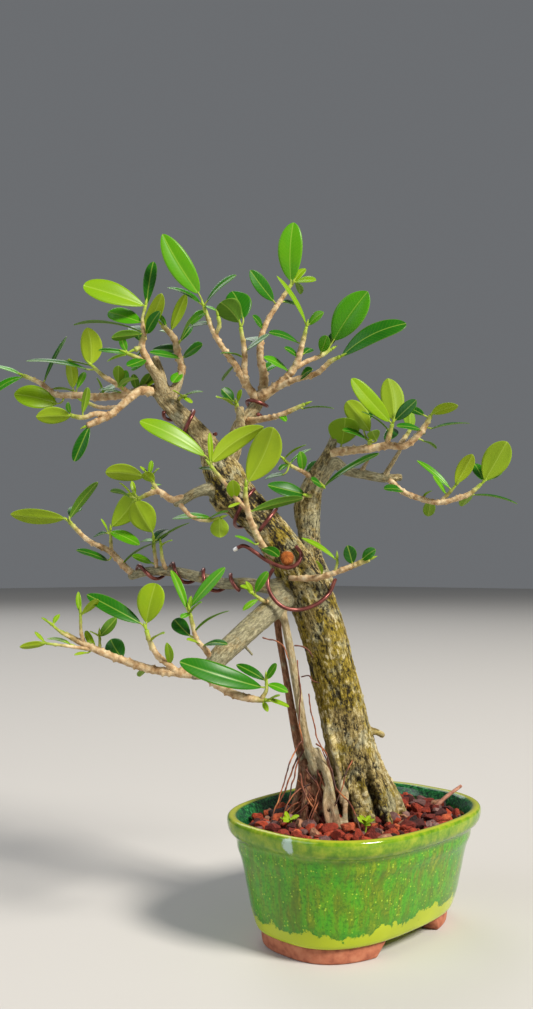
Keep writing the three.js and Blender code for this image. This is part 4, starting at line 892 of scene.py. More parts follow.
# ---- Training wires ----
# Soft aluminium wire, 3 mm thick, anodised copper brown, wound round the limbs to bend them. One end was
# cut with pliers and shines bare.
WIRE_RADIUS, WIRE_SIDES, WIRE_STEP = 1.5, 16, 1.2
WIRE_GAP, RIB_ALLOWANCE = 0.35, 1.06  # how far it stands off the skin, and the share that the flutes need
COIL_STEP, TURN_STEPS = 0.6, 40
CUT_REACH, CUT_BLEND = 3.4, 0.6  # the bright cut end's length, and where it turns brown
COILS = {  # limb, the shares of it where the wire begins and ends, turns, turn of the wire's beginning
    "wire_trunk_top": ("trunk", 0.85, 0.95, 1.6, 2.4),
    "wire_trunk_bend": ("trunk", 0.63, 0.7, 1.2, 0.4),
    "wire_left_limb": ("left_limb", 0.26, 0.97, 3.6, 0.6),
    "wire_apex": ("apex_limb", 0.7, 0.87, 1.25, 0.0),
}
SET_WIRES = {
    "wire_stump": [
        [-92, -30, 282], [-85, -31, 285], [-76, -28, 280], [-69, -26, 275], [-61, -27, 271], [-52, -27, 269],
        [-45, -26, 272], [-42, -23, 279], [-46, -21, 285],
    ],
    "wire_knot": [
        [-63, -25, 268], [-67, -27, 260], [-65, -32, 250], [-57, -34, 241], [-46, -30, 238], [-33, -27, 241],
        [-22, -22, 249], [-16, -11, 260],
    ],
}


def coil_line(limb, start, end, turns, phase):
    """A wire's centre line: it stands off the limb's own line by the limb's radius and its own, and turns
    about it as it goes along."""
    centres, radii, run = limb_stations(LIMBS[limb], COIL_STEP)
    _, normals, others = carried_frames(centres)
    share = run / run[-1]
    spots = np.linspace(start, end, int(turns * TURN_STEPS) + 1)
    turn = phase + 2 * np.pi * turns * np.linspace(0, 1, len(spots))
    centres, normals, others = (
        np.stack([np.interp(spots, share, column) for column in values.T], 1)
        for values in (centres, normals, others)
    )
    off = np.interp(spots, share, radii) * RIB_ALLOWANCE + WIRE_RADIUS + WIRE_GAP
    return centres + off[:, None] * (np.cos(turn)[:, None] * normals + np.sin(turn)[:, None] * others)


def wire_finish():
    """Anodised aluminium wire: a dyed oxide skin over bright metal, so it has a satin sheen in copper
    brown, worn a little paler along its turns."""
    m, shader = new_material("anodised_wire", {"Metallic": 0.55, "Roughness": 0.33})
    whole = add_node(m, "TexCoord", output="Object")
    tone = add_node(m, "TexNoise", {"Vector": whole, "Scale": 1 / (9 * MM), "Detail": 5})
    brown = add_node(m, "ValToRGB", {"Fac": tone}, (), [(0.3, "#4a231f"), (0.72, "#8a5148"), (0.5, "#6a3630")])
    cut = add_node(m, "Attribute", (), {"attribute_name": "cut"}, output="Fac")
    set_sockets(shader, {"Base Color": layered(m, brown, [("#f2f0ee", cut)])})
    return m


wire_lines = {name: coil_line(*facts) for name, facts in COILS.items()}
wire_lines |= {name: smooth_line(place(points), WIRE_STEP)[0] for name, points in SET_WIRES.items()}
anodised_wire = wire_finish()
cut_place = place(SET_WIRES["wire_stump"][0])
for name, line in wire_lines.items():
    wire_points, wire_faces = tube(line, np.full(len(line), WIRE_RADIUS), WIRE_SIDES)
    cut = np.clip((CUT_REACH - np.linalg.norm(wire_points - cut_place, axis=1)) / CUT_BLEND, 0, 1)
    wire = make_piece(name + "_round", wire_points, wire_faces, anodised_wire, cut=cut)
    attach(wire, "root")
    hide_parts(name)


# ---- Leafy sprays ----
# Young living stems of the tree, with leathery fig leaves that grow on them one after another, every leaf on
# its own stalk.
SPRAYS = {
    # A spray is its twigs, as lines of [across, away, up, radius] points, and its leaves. A leaf is the place of
    # its foot and of its tip, its width, its upper face's rise (0 to the front, 90 to the sky, 180 to the back)
    # and its age (0 mature, 1 grown, 2 young).
    "spray_crown_left": ([
        [[-158, -3, 425, 3.3], [-161, -6, 431, 3], [-164, -8, 439, 2.6], [-162, -10, 447, 2]],
        [[-161, -5, 428, 2], [-167, -9, 430, 1.7], [-175, -13, 433, 1.4]],
        [[-164, -8, 439, 1.9], [-169, -11, 436, 1.8]],
        [[-162, -10, 447, 2], [-163, -12, 459, 1.4], [-161, -12, 470, 1.1]],
    ], [
        [-162, -12, 470, -207, -22, 483, 21, 25, 2], [-160, -12, 471, -156, -4, 507, 10, 20, 0],
        [-164, -10, 450, -147, -24, 476, 11, 160, 2], [-160, -10, 449, -148, -26, 462, 10, 15, 0],
        [-164, -12, 457, -191, -2, 468, 16, 30, 1], [-165, -10, 451, -219, 4, 459, 12, 84, 0],
        [-164, -12, 448, -184, -30, 441, 10, 135, 0], [-175, -13, 433, -195, -22, 433, 9, 50, 0],
        [-175, -13, 432, -187, -30, 423, 6, 120, 1], [-175, -13, 434, -179, -16, 445, 6, 20, 1],
        [-161, -6, 430, -173, -22, 421, 10, 30, 0], [-166, -6, 444, -175, 16, 461, 12, 40, 0],
        [-161, -2, 429, -174, 6, 425, 12, 30, 1], [-163, -6, 438, -172, 0, 429, 9, 60, 1],
    ]),
    "spray_crown_right": ([
        [[-135, 11, 421, 3.1], [-135, 11, 428, 3], [-138, 12, 438, 2.9], [-141, 12, 450, 2.6],
         [-150, 10, 460, 1.9]],
        [[-138, 8, 399, 1.8], [-135, 2, 401, 1.4], [-132, -3, 401, 1]],
    ], [
        [-143, 11, 457, -131, 2, 483, 9, 165, 2], [-136, 12, 449, -118, 18, 475, 10, 100, 0],
        [-136, 12, 448, -129, 30, 465, 6, 30, 0], [-147, 10, 460, -153, 2, 467, 5, 30, 1],
        [-135, 11, 434, -158, -6, 435, 10, 40, 0], [-134, 12, 435, -118, 2, 443, 13, 35, 0],
        [-140, 12, 452, -154, 26, 460, 6, 60, 1], [-137, 12, 440, -159, 20, 443, 13, 40, 0],
        [-135, 10, 423, -141, 2, 413, 9, 30, 1], [-132, -3, 402, -117, -8, 404, 5, 60, 0],
        [-133, -2, 402, -140, -8, 405, 5, 60, 2], [-132, -3, 401, -125, -9, 395, 5, 60, 2],
    ]),
    "spray_far_left": ([
        [[-171, 11, 406, 3.4], [-182, 13, 405, 3.3], [-201, 16, 404, 3.1], [-220, 19, 406, 2.8],
         [-236, 21, 407, 2.2], [-248, 23, 416, 1.9], [-263, 25, 423, 1.6]],
        [[-176, 12, 406, 2.4], [-180, 7, 409, 2], [-185, 2, 412, 1.9], [-194, -2, 417, 1.7],
         [-203, -4, 425, 1.2]],
    ], [
        [-204, -4, 426, -206, -8, 454, 17, 170, 2], [-202, -4, 425, -238, 8, 431, 8, 82, 0],
        [-206, -4, 422, -252, -12, 427, 11, 62, 0], [-264, 25, 423, -292, 30, 432, 10, 70, 1],
        [-264, 25, 422, -284, 16, 408, 11, 50, 0], [-234, 18, 399, -266, 8, 405, 20, 20, 2],
        [-246, 23, 418, -230, 30, 456, 8, 80, 0], [-222, 19, 412, -227, 26, 437, 10, 160, 2],
        [-220, 19, 409, -242, 36, 414, 5, 110, 1], [-219, 19, 411, -215, 30, 427, 6, 20, 1],
        [-183, 0, 412, -181, -14, 423, 9, 150, 1], [-180, 1, 409, -176, -6, 421, 7, 20, 1],
        [-182, -1, 409, -165, -24, 411, 7, 100, 1], [-200, 16, 405, -189, 38, 419, 10, 70, 0],
        [-236, 21, 408, -246, 40, 402, 10, 60, 0], [-167, 9, 408, -158, 2, 420, 9, 110, 0],
        [-166, 8, 407, -153, 0, 415, 8, 50, 2], [-169, 9, 408, -172, 4, 420, 7, 120, 0],
        [-183, 10, 407, -199, 4, 408, 6, 60, 1], [-196, 14, 405, -203, 18, 420, 6, 110, 1],
    ]),
    "spray_far_left_low": ([
        [[-157, 2, 406, 3.6], [-166, -4, 405, 3.2], [-176, -8, 396, 2.8], [-188, -11, 385, 2.6],
         [-204, -13, 377, 2.4]],
        [[-188, -11, 385, 2.4], [-198, -13, 386, 2], [-207, -14, 383, 1.8], [-216, -15, 384, 1.6]],
        [[-181, -9, 392, 1.5], [-197, 0, 393, 1.4], [-211, 6, 399, 1.3]],
    ], [
        [-217, -15, 384, -241, -24, 382, 14, 150, 2], [-208, -14, 386, -203, -20, 405, 6, 150, 1],
        [-203, -13, 376, -213, -18, 349, 10, 20, 0], [-217, -15, 386, -217, -24, 393, 4, 30, 1],
    ]),
    "spray_upper_left": ([
        [[-130, -16, 321, 3.2], [-139, -19, 320, 2.6], [-149, -21, 326, 2.2], [-156, -22, 324, 1.9],
         [-164, -23, 320, 1.4]],
        [[-148, -21, 325, 1.9], [-151, -22, 329, 1.6], [-154, -23, 334, 1.3], [-156, -23, 337, 1.1]],
    ], [
        [-160, -23, 337, -190, -14, 341, 14, 155, 2], [-152, -23, 333, -158, -34, 339, 9, 150, 2],
        [-156, -23, 338, -154, -23, 349, 4, 20, 2], [-154, -23, 338, -148, -26, 343, 3, 60, 2],
        [-156, -23, 338, -163, -20, 345, 3, 60, 2], [-154, -22, 329, -148, -12, 332, 4, 60, 1],
        [-170, -22, 322, -187, -8, 327, 7, 130, 0], [-168, -23, 322, -177, -30, 332, 3, 60, 2],
        [-166, -23, 323, -169, -20, 334, 4, 60, 2],
    ]),
    "spray_upper_left_low": ([
        [[-134, -18, 318, 2], [-130, -20, 313, 1.6], [-124, -22, 307, 1.5], [-111, -24, 304, 1.4],
         [-103, -25, 306, 1.1]],
    ], [
        [-110, -24, 306, -139, -14, 306, 10, 60, 1], [-103, -25, 306, -102, -30, 291, 14, 170, 2],
        [-112, -24, 305, -96, -38, 310, 6, 60, 1],
    ]),
    "spray_middle_left": ([
        [[-174, 35, 263, 3], [-182, 36, 270, 2.7], [-194, 38, 282, 2.4], [-212, 40, 291, 2],
         [-228, 42, 306, 1.6]],
        [[-193, 38, 281, 1.6], [-193, 36, 287, 1.4], [-193, 32, 298, 1.1]],
        [[-155, 30, 266, 1.8], [-156, 26, 275, 1.5], [-157, 20, 290, 1.1]],
    ], [
        [-232, 42, 309, -274, 34, 312, 15, 145, 2], [-228, 42, 309, -204, 34, 338, 9, 115, 0],
        [-228, 42, 311, -223, 60, 319, 10, 30, 0], [-231, 42, 308, -245, 56, 307, 7, 60, 0],
        [-196, 38, 275, -219, 26, 283, 11, 55, 0], [-192, 32, 302, -171, 22, 327, 19, 165, 2],
        [-158, 20, 297, -171, 12, 321, 21, 168, 2], [-196, 32, 297, -209, 50, 295, 7, 40, 0],
        [-193, 32, 298, -168, 20, 287, 11, 40, 1], [-195, 32, 298, -200, 28, 308, 3, 60, 2],
        [-184, 36, 272, -150, 16, 290, 10, 75, 0], [-159, 26, 273, -173, 14, 278, 9, 40, 1],
        [-154, 20, 291, -128, 8, 304, 7, 80, 0], [-156, 20, 290, -169, 34, 290, 7, 60, 1],
        [-158, 22, 287, -148, 44, 300, 11, 40, 0],
    ]),
    "spray_left_bud": ([
        [[-146, 27, 264, 1.8], [-150, 22, 275, 1.5], [-151, 18, 286, 1.1]],
    ], [
        [-151, 18, 286, -141, 4, 290, 5, 60, 2],
    ]),
    "spray_low_left": ([
        [[-117, -57, 194, 3.4], [-130, -57, 195, 3.1], [-148, -56, 197, 2.9], [-171, -55, 204, 2.7],
         [-189, -54, 211, 2.5], [-202, -53, 217, 2.2], [-211, -52, 222, 1.9]],
        [[-129, -57, 194, 2.6], [-137, -59, 201, 2.3], [-144, -61, 207, 2.1], [-149, -63, 216, 1.8],
         [-152, -64, 225, 1.4]],
        [[-197, -53, 214, 1.6], [-199, -56, 223, 1.2], [-199, -60, 236, 1]],
        [[-205, -53, 218, 1.4], [-213, -56, 223, 1.1], [-218, -60, 228, 0.9]],
        [[-192, -54, 211, 1.4], [-209, -60, 214, 1.1], [-222, -64, 216, 0.9]],
        [[-186, -54, 209, 1.2], [-187, -50, 220, 0.9]],
    ], [
        [-156, -64, 230, -195, -58, 250, 13, 40, 0], [-152, -64, 230, -145, -70, 258, 19, 5, 2],
        [-199, -60, 237, -201, -58, 252, 4, 40, 2], [-198, -60, 236, -185, -70, 247, 6, 130, 2],
        [-219, -60, 229, -225, -66, 234, 4, 60, 2], [-218, -60, 229, -215, -54, 236, 4, 60, 2],
        [-222, -64, 216, -239, -70, 214, 7, 140, 2], [-223, -64, 217, -231, -60, 224, 3, 60, 2],
        [-206, -58, 215, -226, -44, 218, 4, 60, 2], [-189, -54, 211, -197, -50, 224, 5, 40, 2],
        [-187, -50, 220, -176, -44, 233, 8, 155, 0], [-187, -50, 220, -192, -60, 224, 4, 60, 2],
        [-170, -55, 205, -181, -38, 217, 14, 20, 0], [-136, -59, 201, -137, -70, 217, 6, 30, 2],
        [-194, -54, 209, -202, -64, 208, 4, 60, 2], [-149, -63, 218, -138, -80, 224, 6, 60, 2],
        [-147, -56, 199, -160, -34, 190, 9, 70, 1],
    ]),
    "spray_low_front": ([
        [[-111, -57, 194, 3.6], [-102, -60, 187, 3], [-91, -63, 181, 2.8], [-79, -65, 178, 2.4],
         [-70, -66, 177, 1.9]],
        [[-72, -66, 177, 1.6], [-68, -67, 184, 1.3], [-68, -67, 191, 1]],
    ], [
        [-71, -67, 186, -127, -82, 205, 16, 30, 0], [-69, -67, 191, -89, -60, 201, 8, 45, 0],
        [-68, -67, 192, -61, -76, 203, 7, 40, 1], [-67, -67, 188, -53, -70, 183, 7, 45, 1],
        [-68, -67, 191, -63, -58, 197, 3, 30, 2], [-68, -66, 178, -52, -60, 172, 6, 60, 2],
        [-68, -66, 177, -59, -80, 182, 5, 60, 2], [-70, -66, 176, -67, -72, 170, 4, 40, 2],
    ]),
    "spray_low_upright": ([
        [[-105, -54, 201, 2.4], [-111, -56, 211, 2], [-117, -58, 218, 1.7], [-120, -60, 229, 1.5],
         [-122, -61, 238, 1.1]],
    ], [
        [-122, -61, 241, -97, -66, 269, 9, 35, 1], [-124, -61, 240, -136, -54, 267, 6, 30, 1],
        [-122, -61, 237, -113, -72, 245, 6, 60, 1], [-122, -61, 237, -127, -70, 234, 6, 60, 1],
        [-122, -58, 221, -134, -48, 232, 11, 25, 0], [-119, -59, 224, -94, -70, 239, 6, 85, 0],
        [-115, -57, 215, -123, -70, 219, 6, 50, 2], [-113, -57, 214, -95, -72, 216, 7, 50, 0],
        [-122, -61, 239, -121, -61, 249, 3, 60, 2],
    ]),
    "spray_front_shoot": ([
        [[-61, -13, 277, 2.6], [-68, -22, 282, 2.5], [-73, -27, 289, 2.4], [-77, -33, 297, 2.3],
         [-81, -40, 308, 2.1], [-83, -45, 320, 1.8], [-83, -47, 327, 1.4]],
        [[-83, -42, 312, 1.8], [-89, -46, 318, 1.6], [-99, -50, 331, 1.4], [-108, -53, 342, 1.2]],
    ], [
        [-112, -54, 349, -158, -62, 373, 15, 30, 2], [-107, -54, 345, -70, -48, 371, 15, 150, 2],
        [-81, -48, 331, -63, -58, 369, 23, 175, 2], [-91, -46, 319, -92, -58, 331, 10, 10, 2],
        [-108, -54, 344, -109, -52, 366, 4, 60, 2], [-108, -54, 343, -103, -44, 354, 4, 60, 2],
        [-76, -30, 286, -91, -38, 292, 6, 60, 1], [-71, -26, 283, -59, -40, 277, 9, 40, 0],
        [-79, -42, 310, -41, -36, 320, 10, 130, 0], [-87, -46, 316, -95, -54, 312, 4, 60, 2],
        [-106, -52, 339, -117, -40, 342, 7, 60, 0],
    ]),
    "spray_apex": ([
        [[-74, 13, 400, 4], [-84, 8, 413, 3.1], [-91, 3, 425, 2.7], [-101, -3, 438, 2.3], [-109, -8, 451, 2],
         [-116, -12, 469, 1.4]],
        [[-83, 8, 411, 2.8], [-85, 4, 422, 2.4], [-85, 0, 437, 2.1], [-88, -4, 455, 1.5]],
        [[-71, 15, 405, 4.2], [-70, 20, 421, 3.4], [-73, 24, 438, 2.9], [-72, 27, 455, 2.5],
         [-67, 29, 469, 2.2], [-59, 30, 482, 2], [-51, 31, 494, 1.6], [-47, 31, 500, 1.3]],
        [[-73, 12, 403, 4.6], [-60, 8, 411, 3.4], [-46, 3, 425, 2.8], [-40, -2, 443, 2], [-37, -5, 455, 1.3]],
        [[-45, 3, 425, 2.2], [-35, 6, 431, 1.9], [-26, 9, 435, 1.7], [-17, 11, 441, 1.3]],
        [[-64, 9, 408, 2.8], [-47, -2, 414, 2.3], [-29, -10, 418, 2.1], [-19, -15, 426, 1.8],
         [-12, -18, 429, 1.4]],
        [[-107, -7, 448, 1.6], [-104, -12, 456, 1.5], [-105, -13, 461, 1.4]],
    ], [
        [-120, -14, 479, -147, -24, 522, 19, 15, 1], [-114, -12, 473, -91, -22, 491, 11, 50, 0],
        [-119, -12, 472, -145, -2, 487, 8, 60, 0], [-115, -12, 470, -106, -24, 463, 4, 60, 1],
        [-113, -9, 457, -128, 6, 459, 9, 40, 0], [-89, -4, 459, -103, -18, 471, 19, 150, 0],
        [-86, -4, 462, -95, 8, 487, 20, 25, 0], [-84, 0, 438, -66, -14, 447, 11, 45, 0],
        [-87, 0, 433, -103, -12, 433, 7, 70, 0], [-71, 28, 462, -79, 18, 470, 10, 35, 0],
        [-62, 30, 485, -81, 18, 507, 13, 20, 0], [-48, 31, 502, -46, 26, 549, 20, 8, 1],
        [-37, -5, 457, -60, -16, 492, 9, 60, 2], [-46, 31, 501, -28, 22, 500, 10, 40, 2],
        [-46, 31, 500, -36, 36, 514, 7, 30, 2], [-35, -5, 457, -24, -12, 465, 9, 30, 1],
        [-43, 0, 444, -66, -12, 449, 12, 45, 0], [-43, 2, 433, -54, -8, 438, 7, 30, 0],
        [-39, 0, 435, -32, 12, 442, 7, 30, 0], [-51, 5, 423, -70, -10, 430, 12, 40, 1],
        [-15, 10, 448, 11, -2, 484, 24, 12, 1], [-11, -18, 429, 37, -28, 452, 18, 30, 0],
        [-25, 8, 438, -21, -2, 449, 10, 25, 1], [-18, 11, 444, -12, 24, 459, 7, 20, 0],
        [-42, -4, 415, -33, -18, 419, 9, 20, 0], [-44, 30, 501, -40, 48, 496, 7, 40, 1],
        [-54, 31, 485, -40, 46, 485, 10, 40, 0], [-72, 26, 448, -83, 50, 460, 12, 50, 0],
        [-70, 21, 425, -55, 46, 438, 12, 50, 0], [-92, 2, 428, -103, 20, 418, 10, 50, 0],
        [-114, -12, 465, -127, -6, 458, 13, 40, 1],
    ]),
    "spray_dead_twig": ([
        [[-84, 10, 383, 3], [-71, 0, 384, 2.4], [-60, -7, 385, 2.1], [-39, -14, 393, 1.6]],
    ], [
        [-41, -14, 390, -17, -20, 389, 6, 78, 0], [-59, -6, 387, -53, -14, 380, 5, 30, 1],
    ]),
    "spray_trunk_top": ([
        [[-86, 8, 384, 2.6], [-90, -4, 390, 2.2], [-91, -10, 394, 1.6]],
    ], [
        [-93, -10, 396, -102, -14, 405, 12, 40, 0], [-94, -10, 394, -105, -28, 396, 9, 60, 2],
        [-90, -10, 396, -87, -16, 404, 5, 40, 2],
    ]),
    "spray_right_upper": ([
        [[-18, 0, 358, 3.8], [-3, -4, 359, 3.1], [11, -8, 360, 2.9], [25, -11, 362, 2.8], [36, -14, 361, 2.6],
         [45, -17, 367, 2.4], [52, -19, 376, 2.2], [56, -20, 383, 1.6]],
        [[24, -11, 363, 2.2], [26, -12, 371, 1.8], [28, -13, 378, 1.4]],
        [[34, -13, 363, 2], [40, -8, 371, 1.6], [43, -4, 376, 1.2]],
        [[11, -8, 361, 1.8], [11, -10, 366, 1.4]],
    ], [
        [26, -13, 380, -4, -24, 411, 14, 15, 2], [29, -12, 381, 26, -4, 415, 18, 165, 2],
        [11, -11, 373, -6, -4, 397, 16, 165, 2], [25, -12, 374, 3, -30, 385, 7, 60, 0],
        [7, -6, 378, 15, 8, 399, 9, 30, 0], [-10, -3, 364, -9, -26, 381, 24, 160, 1],
        [10, -9, 366, -11, -24, 372, 9, 45, 0], [16, -10, 366, 11, -26, 371, 10, 150, 1],
        [30, -13, 381, 45, -22, 395, 11, 30, 0], [51, -19, 384, 38, -8, 393, 9, 45, 0],
        [49, -19, 373, 29, -30, 374, 9, 45, 0], [57, -20, 385, 74, -34, 389, 10, 140, 2],
        [56, -19, 374, 87, -12, 379, 7, 75, 0], [50, -18, 365, 62, -8, 360, 5, 80, 0],
        [43, -4, 377, 45, 8, 392, 10, 150, 1], [42, -6, 375, 56, 14, 374, 9, 60, 0],
        [23, -9, 366, 33, 16, 379, 10, 30, 0],
    ]),
    "spray_right_low": ([
        [[31, 33, 340, 2.6], [40, 32, 331, 2.3], [53, 30, 325, 2.2], [70, 27, 321, 2.1], [84, 24, 324, 2.1],
         [94, 22, 328, 1.9], [102, 20, 335, 1.4]],
        [[71, 27, 322, 1.5], [77, 24, 328, 1.3], [82, 21, 334, 1]],
    ], [
        [42, 32, 331, 25, 18, 331, 10, 40, 0], [58, 30, 326, 63, 20, 330, 5, 60, 1],
        [78, 23, 332, 53, 30, 355, 6, 40, 1], [75, 25, 328, 63, 14, 341, 7, 40, 1],
        [82, 21, 335, 94, 12, 358, 13, 150, 2], [105, 20, 338, 121, 12, 368, 22, 165, 2],
        [104, 20, 338, 100, 34, 353, 10, 20, 0], [106, 20, 338, 121, 30, 347, 8, 30, 0],
        [96, 22, 327, 129, 14, 319, 7, 75, 0], [94, 22, 327, 91, 42, 319, 10, 60, 1],
        [63, 28, 323, 64, 46, 311, 10, 60, 1],
    ]),
    "spray_centre": ([
        [[-32, 8, 339, 2], [-41, 2, 344, 1.7], [-49, -4, 347, 1.4], [-54, -8, 351, 1.1]],
    ], [
        [-55, -8, 340, -69, 4, 338, 8, 50, 0], [-54, -8, 353, -38, -16, 362, 6, 80, 1],
        [-50, -4, 349, -33, 8, 362, 6, 80, 0], [-51, -6, 348, -58, -20, 342, 6, 60, 0],
        [-40, 2, 344, -42, -6, 358, 8, 40, 1], [-37, 4, 343, -23, 30, 354, 9, 40, 0],
    ]),
    "spray_fork_leaf": ([
        [[-29, 6, 336, 2], [-25, -7, 331, 1.4]],
    ], [
        [-24, -6, 331, 17, -18, 355, 11, 60, 0], [-25, -6, 331, -34, -18, 335, 9, 30, 0],
    ]),
    "spray_centre_front": ([
        [[-34, 8, 326, 2], [-35, -4, 324, 1.6], [-38, -11, 324, 1.3]],
    ], [
        [-39, -10, 325, -67, -18, 331, 14, 35, 0],
    ]),
    "spray_knot": ([
        [[-50, -18, 262, 2.8], [-40, -24, 261, 2.3], [-28, -29, 262, 2.2], [-13, -33, 267, 2.1],
         [7, -37, 275, 1.9]],
        [[-18, -32, 265, 1.3], [-16, -34, 272, 1], [-16, -34, 275, 0.9]],
    ], [
        [-17, -34, 275, -42, -28, 291, 6, 60, 2], [-5, -35, 272, -9, -40, 285, 10, 25, 0],
        [2, -37, 275, 11, -44, 282, 9, 30, 0], [-27, -29, 264, -32, -44, 274, 4, 60, 2],
    ]),
    "spray_branch_root": ([
        [[-65, -22, 243, 1.8], [-71, -30, 245, 1.4], [-78, -36, 250, 1]],
    ], [
        [-78, -36, 252, -87, -34, 256, 4, 50, 2], [-76, -35, 251, -67, -42, 266, 7, 30, 1],
        [-74, -33, 246, -85, -40, 238, 6, 60, 1], [-78, -36, 251, -83, -42, 259, 4, 30, 2],
    ]),
}
LEAF_SEED, SPRAY_STEP = 5, 1.0
TWIG_SIDES, NODE_SPACING, SCAR_REACH = 12, 6.0, 0.9
# A twig is green up to this far from its tip, and only where it is thinner than this radius.
GREEN_REACH, GREEN_RADIUS, GREEN_BLEND = 16, 2.4, 0.9
BUD_LENGTH, BUD_RADIUS, BUD_POINT = 6.5, 1.15, 0.12
BUD_RINGS, BUD_SIDES = 9, 10
STALK_RADIUS, STALK_RINGS, STALK_SIDES = 0.75, 9, 8
STALK_TAPER = 1.15, 0.75  # its radius at the twig and at the blade, as shares of STALK_RADIUS
STALK_LAP = 1.2  # how far it runs on into the blade
BUD_GREEN, STALK_GREEN = 1.0, 0.85
BLADE_ROWS, BLADE_COLUMNS = 19, 11
BLADE_THICKNESS, BLADE_ARCH = 0.42, 0.07
BLADE_RIM = 0.06  # least half width of a blade
MIDRIB_WIDTH, MIDRIB_DEPTH, VEIN_SPACING = 0.55, 0.45, 3.1


def twig_skin(points, draw):
    """A twig with a swelling at each old leaf's scar: radius times one plus bells along it, each strongest
    on one side. Green is 1 at its tip and falls away towards old wood."""
    centres, radii, run = limb_stations(points, SPRAY_STEP)
    turn = np.linspace(0, 2 * np.pi, TWIG_SIDES, endpoint=False)
    bulge = np.ones((len(run), TWIG_SIDES)) + 0.08 * noise(centres, 3, 71)[:, None]
    scars = np.cumsum(NODE_SPACING * draw.uniform(0.45, 1.6, int(run[-1] / NODE_SPACING) + 1))
    for scar in scars:
        lean = draw.uniform(0, 2 * np.pi)
        along = np.exp(-(((run - scar) / SCAR_REACH) ** 2))
        bulge += along[:, None] * (0.1 + 0.4 * np.exp(np.cos(turn - lean) * 4 - 4))[None, :]
    green = np.clip(1 - (run[-1] - run) / GREEN_REACH, 0, 1) * np.clip((GREEN_RADIUS - radii) / GREEN_BLEND, 0, 1)
    green = np.repeat(np.concatenate([green[:1], green, green[-1:]]), TWIG_SIDES)
    return *tube(centres, radii, TWIG_SIDES, bulge), green


def bud(points):
    """A pointed bud at a twig's end: a ring's radius swells and closes along the last direction."""
    centres = limb_stations(points, SPRAY_STEP)[0]
    ahead = centres[-1] - centres[-3]
    ahead /= np.linalg.norm(ahead)
    share = np.linspace(0, 1, BUD_RINGS)
    wide = np.maximum(BUD_RADIUS * np.sin(np.pi * share**0.55) ** 0.8, BUD_POINT)
    return tube(centres[-1] + ahead * (share[:, None] * BUD_LENGTH), wide, BUD_SIDES)


def leaf_blade(foot, tip, width, rise, draw):
    """A blade as two sheets joined at the rim. Half its width follows share^a times (1 - share)^b; it is
    arched along its length, folded up from the midrib, a little waved at the rim, and the underside has a
    raised midrib. Returns points, faces, place on the blade and underside."""
    start, ahead = place(foot), place(tip) - place(foot)
    length = np.linalg.norm(ahead)
    ahead /= length
    angle = np.radians(rise)
    up = place([0, -np.cos(angle), np.sin(angle)]) - POT_MIDDLE
    up -= ahead * (up @ ahead)
    up /= np.linalg.norm(up)
    side = np.cross(ahead, up)
    fuller, blunter = draw.uniform(0.6, 0.85), draw.uniform(0.5, 0.68)
    fold, arch = draw.uniform(0.1, 0.3), BLADE_ARCH * draw.uniform(0.6, 1.3)
    sway, wave, phase = draw.uniform(-0.05, 0.05), draw.uniform(0.01, 0.05), draw.uniform(0, 6)
    t = (1 - np.cos(np.linspace(0, np.pi, BLADE_ROWS))) / 2
    half = t**fuller * (1 - t) ** blunter
    half = half / half.max() * width / 2
    half = np.maximum(half, [STALK_RADIUS * 0.7] + [BLADE_RIM] * (BLADE_ROWS - 1))[:, None]
    t, s = t[:, None], np.linspace(-1, 1, BLADE_COLUMNS)[None, :]
    across = s * half
    lift = 4 * arch * length * t * (1 - t) + fold * np.abs(across) * (1 - 0.5 * np.abs(s))
    lift = lift - 0.35 * fold * half + wave * half * s**2 * np.sin(9 * t + phase + 2 * s)
    bend = sway * length * 4 * t * (1 - t)
    top = start + ahead * (t * length)[..., None] + side * (across + bend)[..., None] + up * lift[..., None]
    rib = np.exp(-((across / MIDRIB_WIDTH) ** 2)) * np.minimum(1, 2.2 * (1 - t)) * MIDRIB_DEPTH
    thick = BLADE_THICKNESS * (1 - 0.6 * np.abs(s)) + rib
    top = top - up * (0.25 * rib)[..., None]
    bottom = top - up * thick[..., None]
    faces_top = np.array(grid_faces(BLADE_ROWS, BLADE_COLUMNS, closed=False))
    count = BLADE_ROWS * BLADE_COLUMNS
    index = np.arange(count).reshape(BLADE_ROWS, BLADE_COLUMNS)
    rim = np.concatenate([index[0], index[1:, -1], index[-1, -2::-1], index[-2:0:-1, 0]])
    turned = np.roll(rim, -1)
    wall = np.stack([rim, rim + count, turned + count, turned], 1)
    faces = np.vstack([faces_top, faces_top[:, ::-1] + count, wall]).tolist()
    spread = np.stack(np.broadcast_arrays(t * length, across, np.abs(s)), -1).reshape(-1, 3)
    points = np.vstack([top.reshape(-1, 3), bottom.reshape(-1, 3)])
    return points, faces, np.vstack([spread, spread]), np.repeat([0.0, 1.0], count)


def leaf_stalk(foot, tip, twig_lines, order):
    """A stalk from the twig to the blade's foot, turning on its way into the blade's own direction."""
    start, ahead = place(foot), place(tip) - place(foot)
    ahead /= np.linalg.norm(ahead)
    gaps = [np.linalg.norm(line - start, axis=1) for line in twig_lines]
    chosen = int(np.argmin([gap.min() for gap in gaps]))
    root = twig_lines[chosen][max(int(np.argmin(gaps[chosen])) - 2 * (order % 3), 0)]
    bent = start - ahead * max(np.linalg.norm(start - root), 2.0) * 0.5
    t = np.linspace(0, 1, STALK_RINGS)[:, None]
    line = (1 - t) ** 2 * root + 2 * t * (1 - t) * bent + t**2 * (start + ahead * STALK_LAP)
    return tube(line, STALK_RADIUS * np.linspace(*STALK_TAPER, STALK_RINGS), STALK_SIDES)


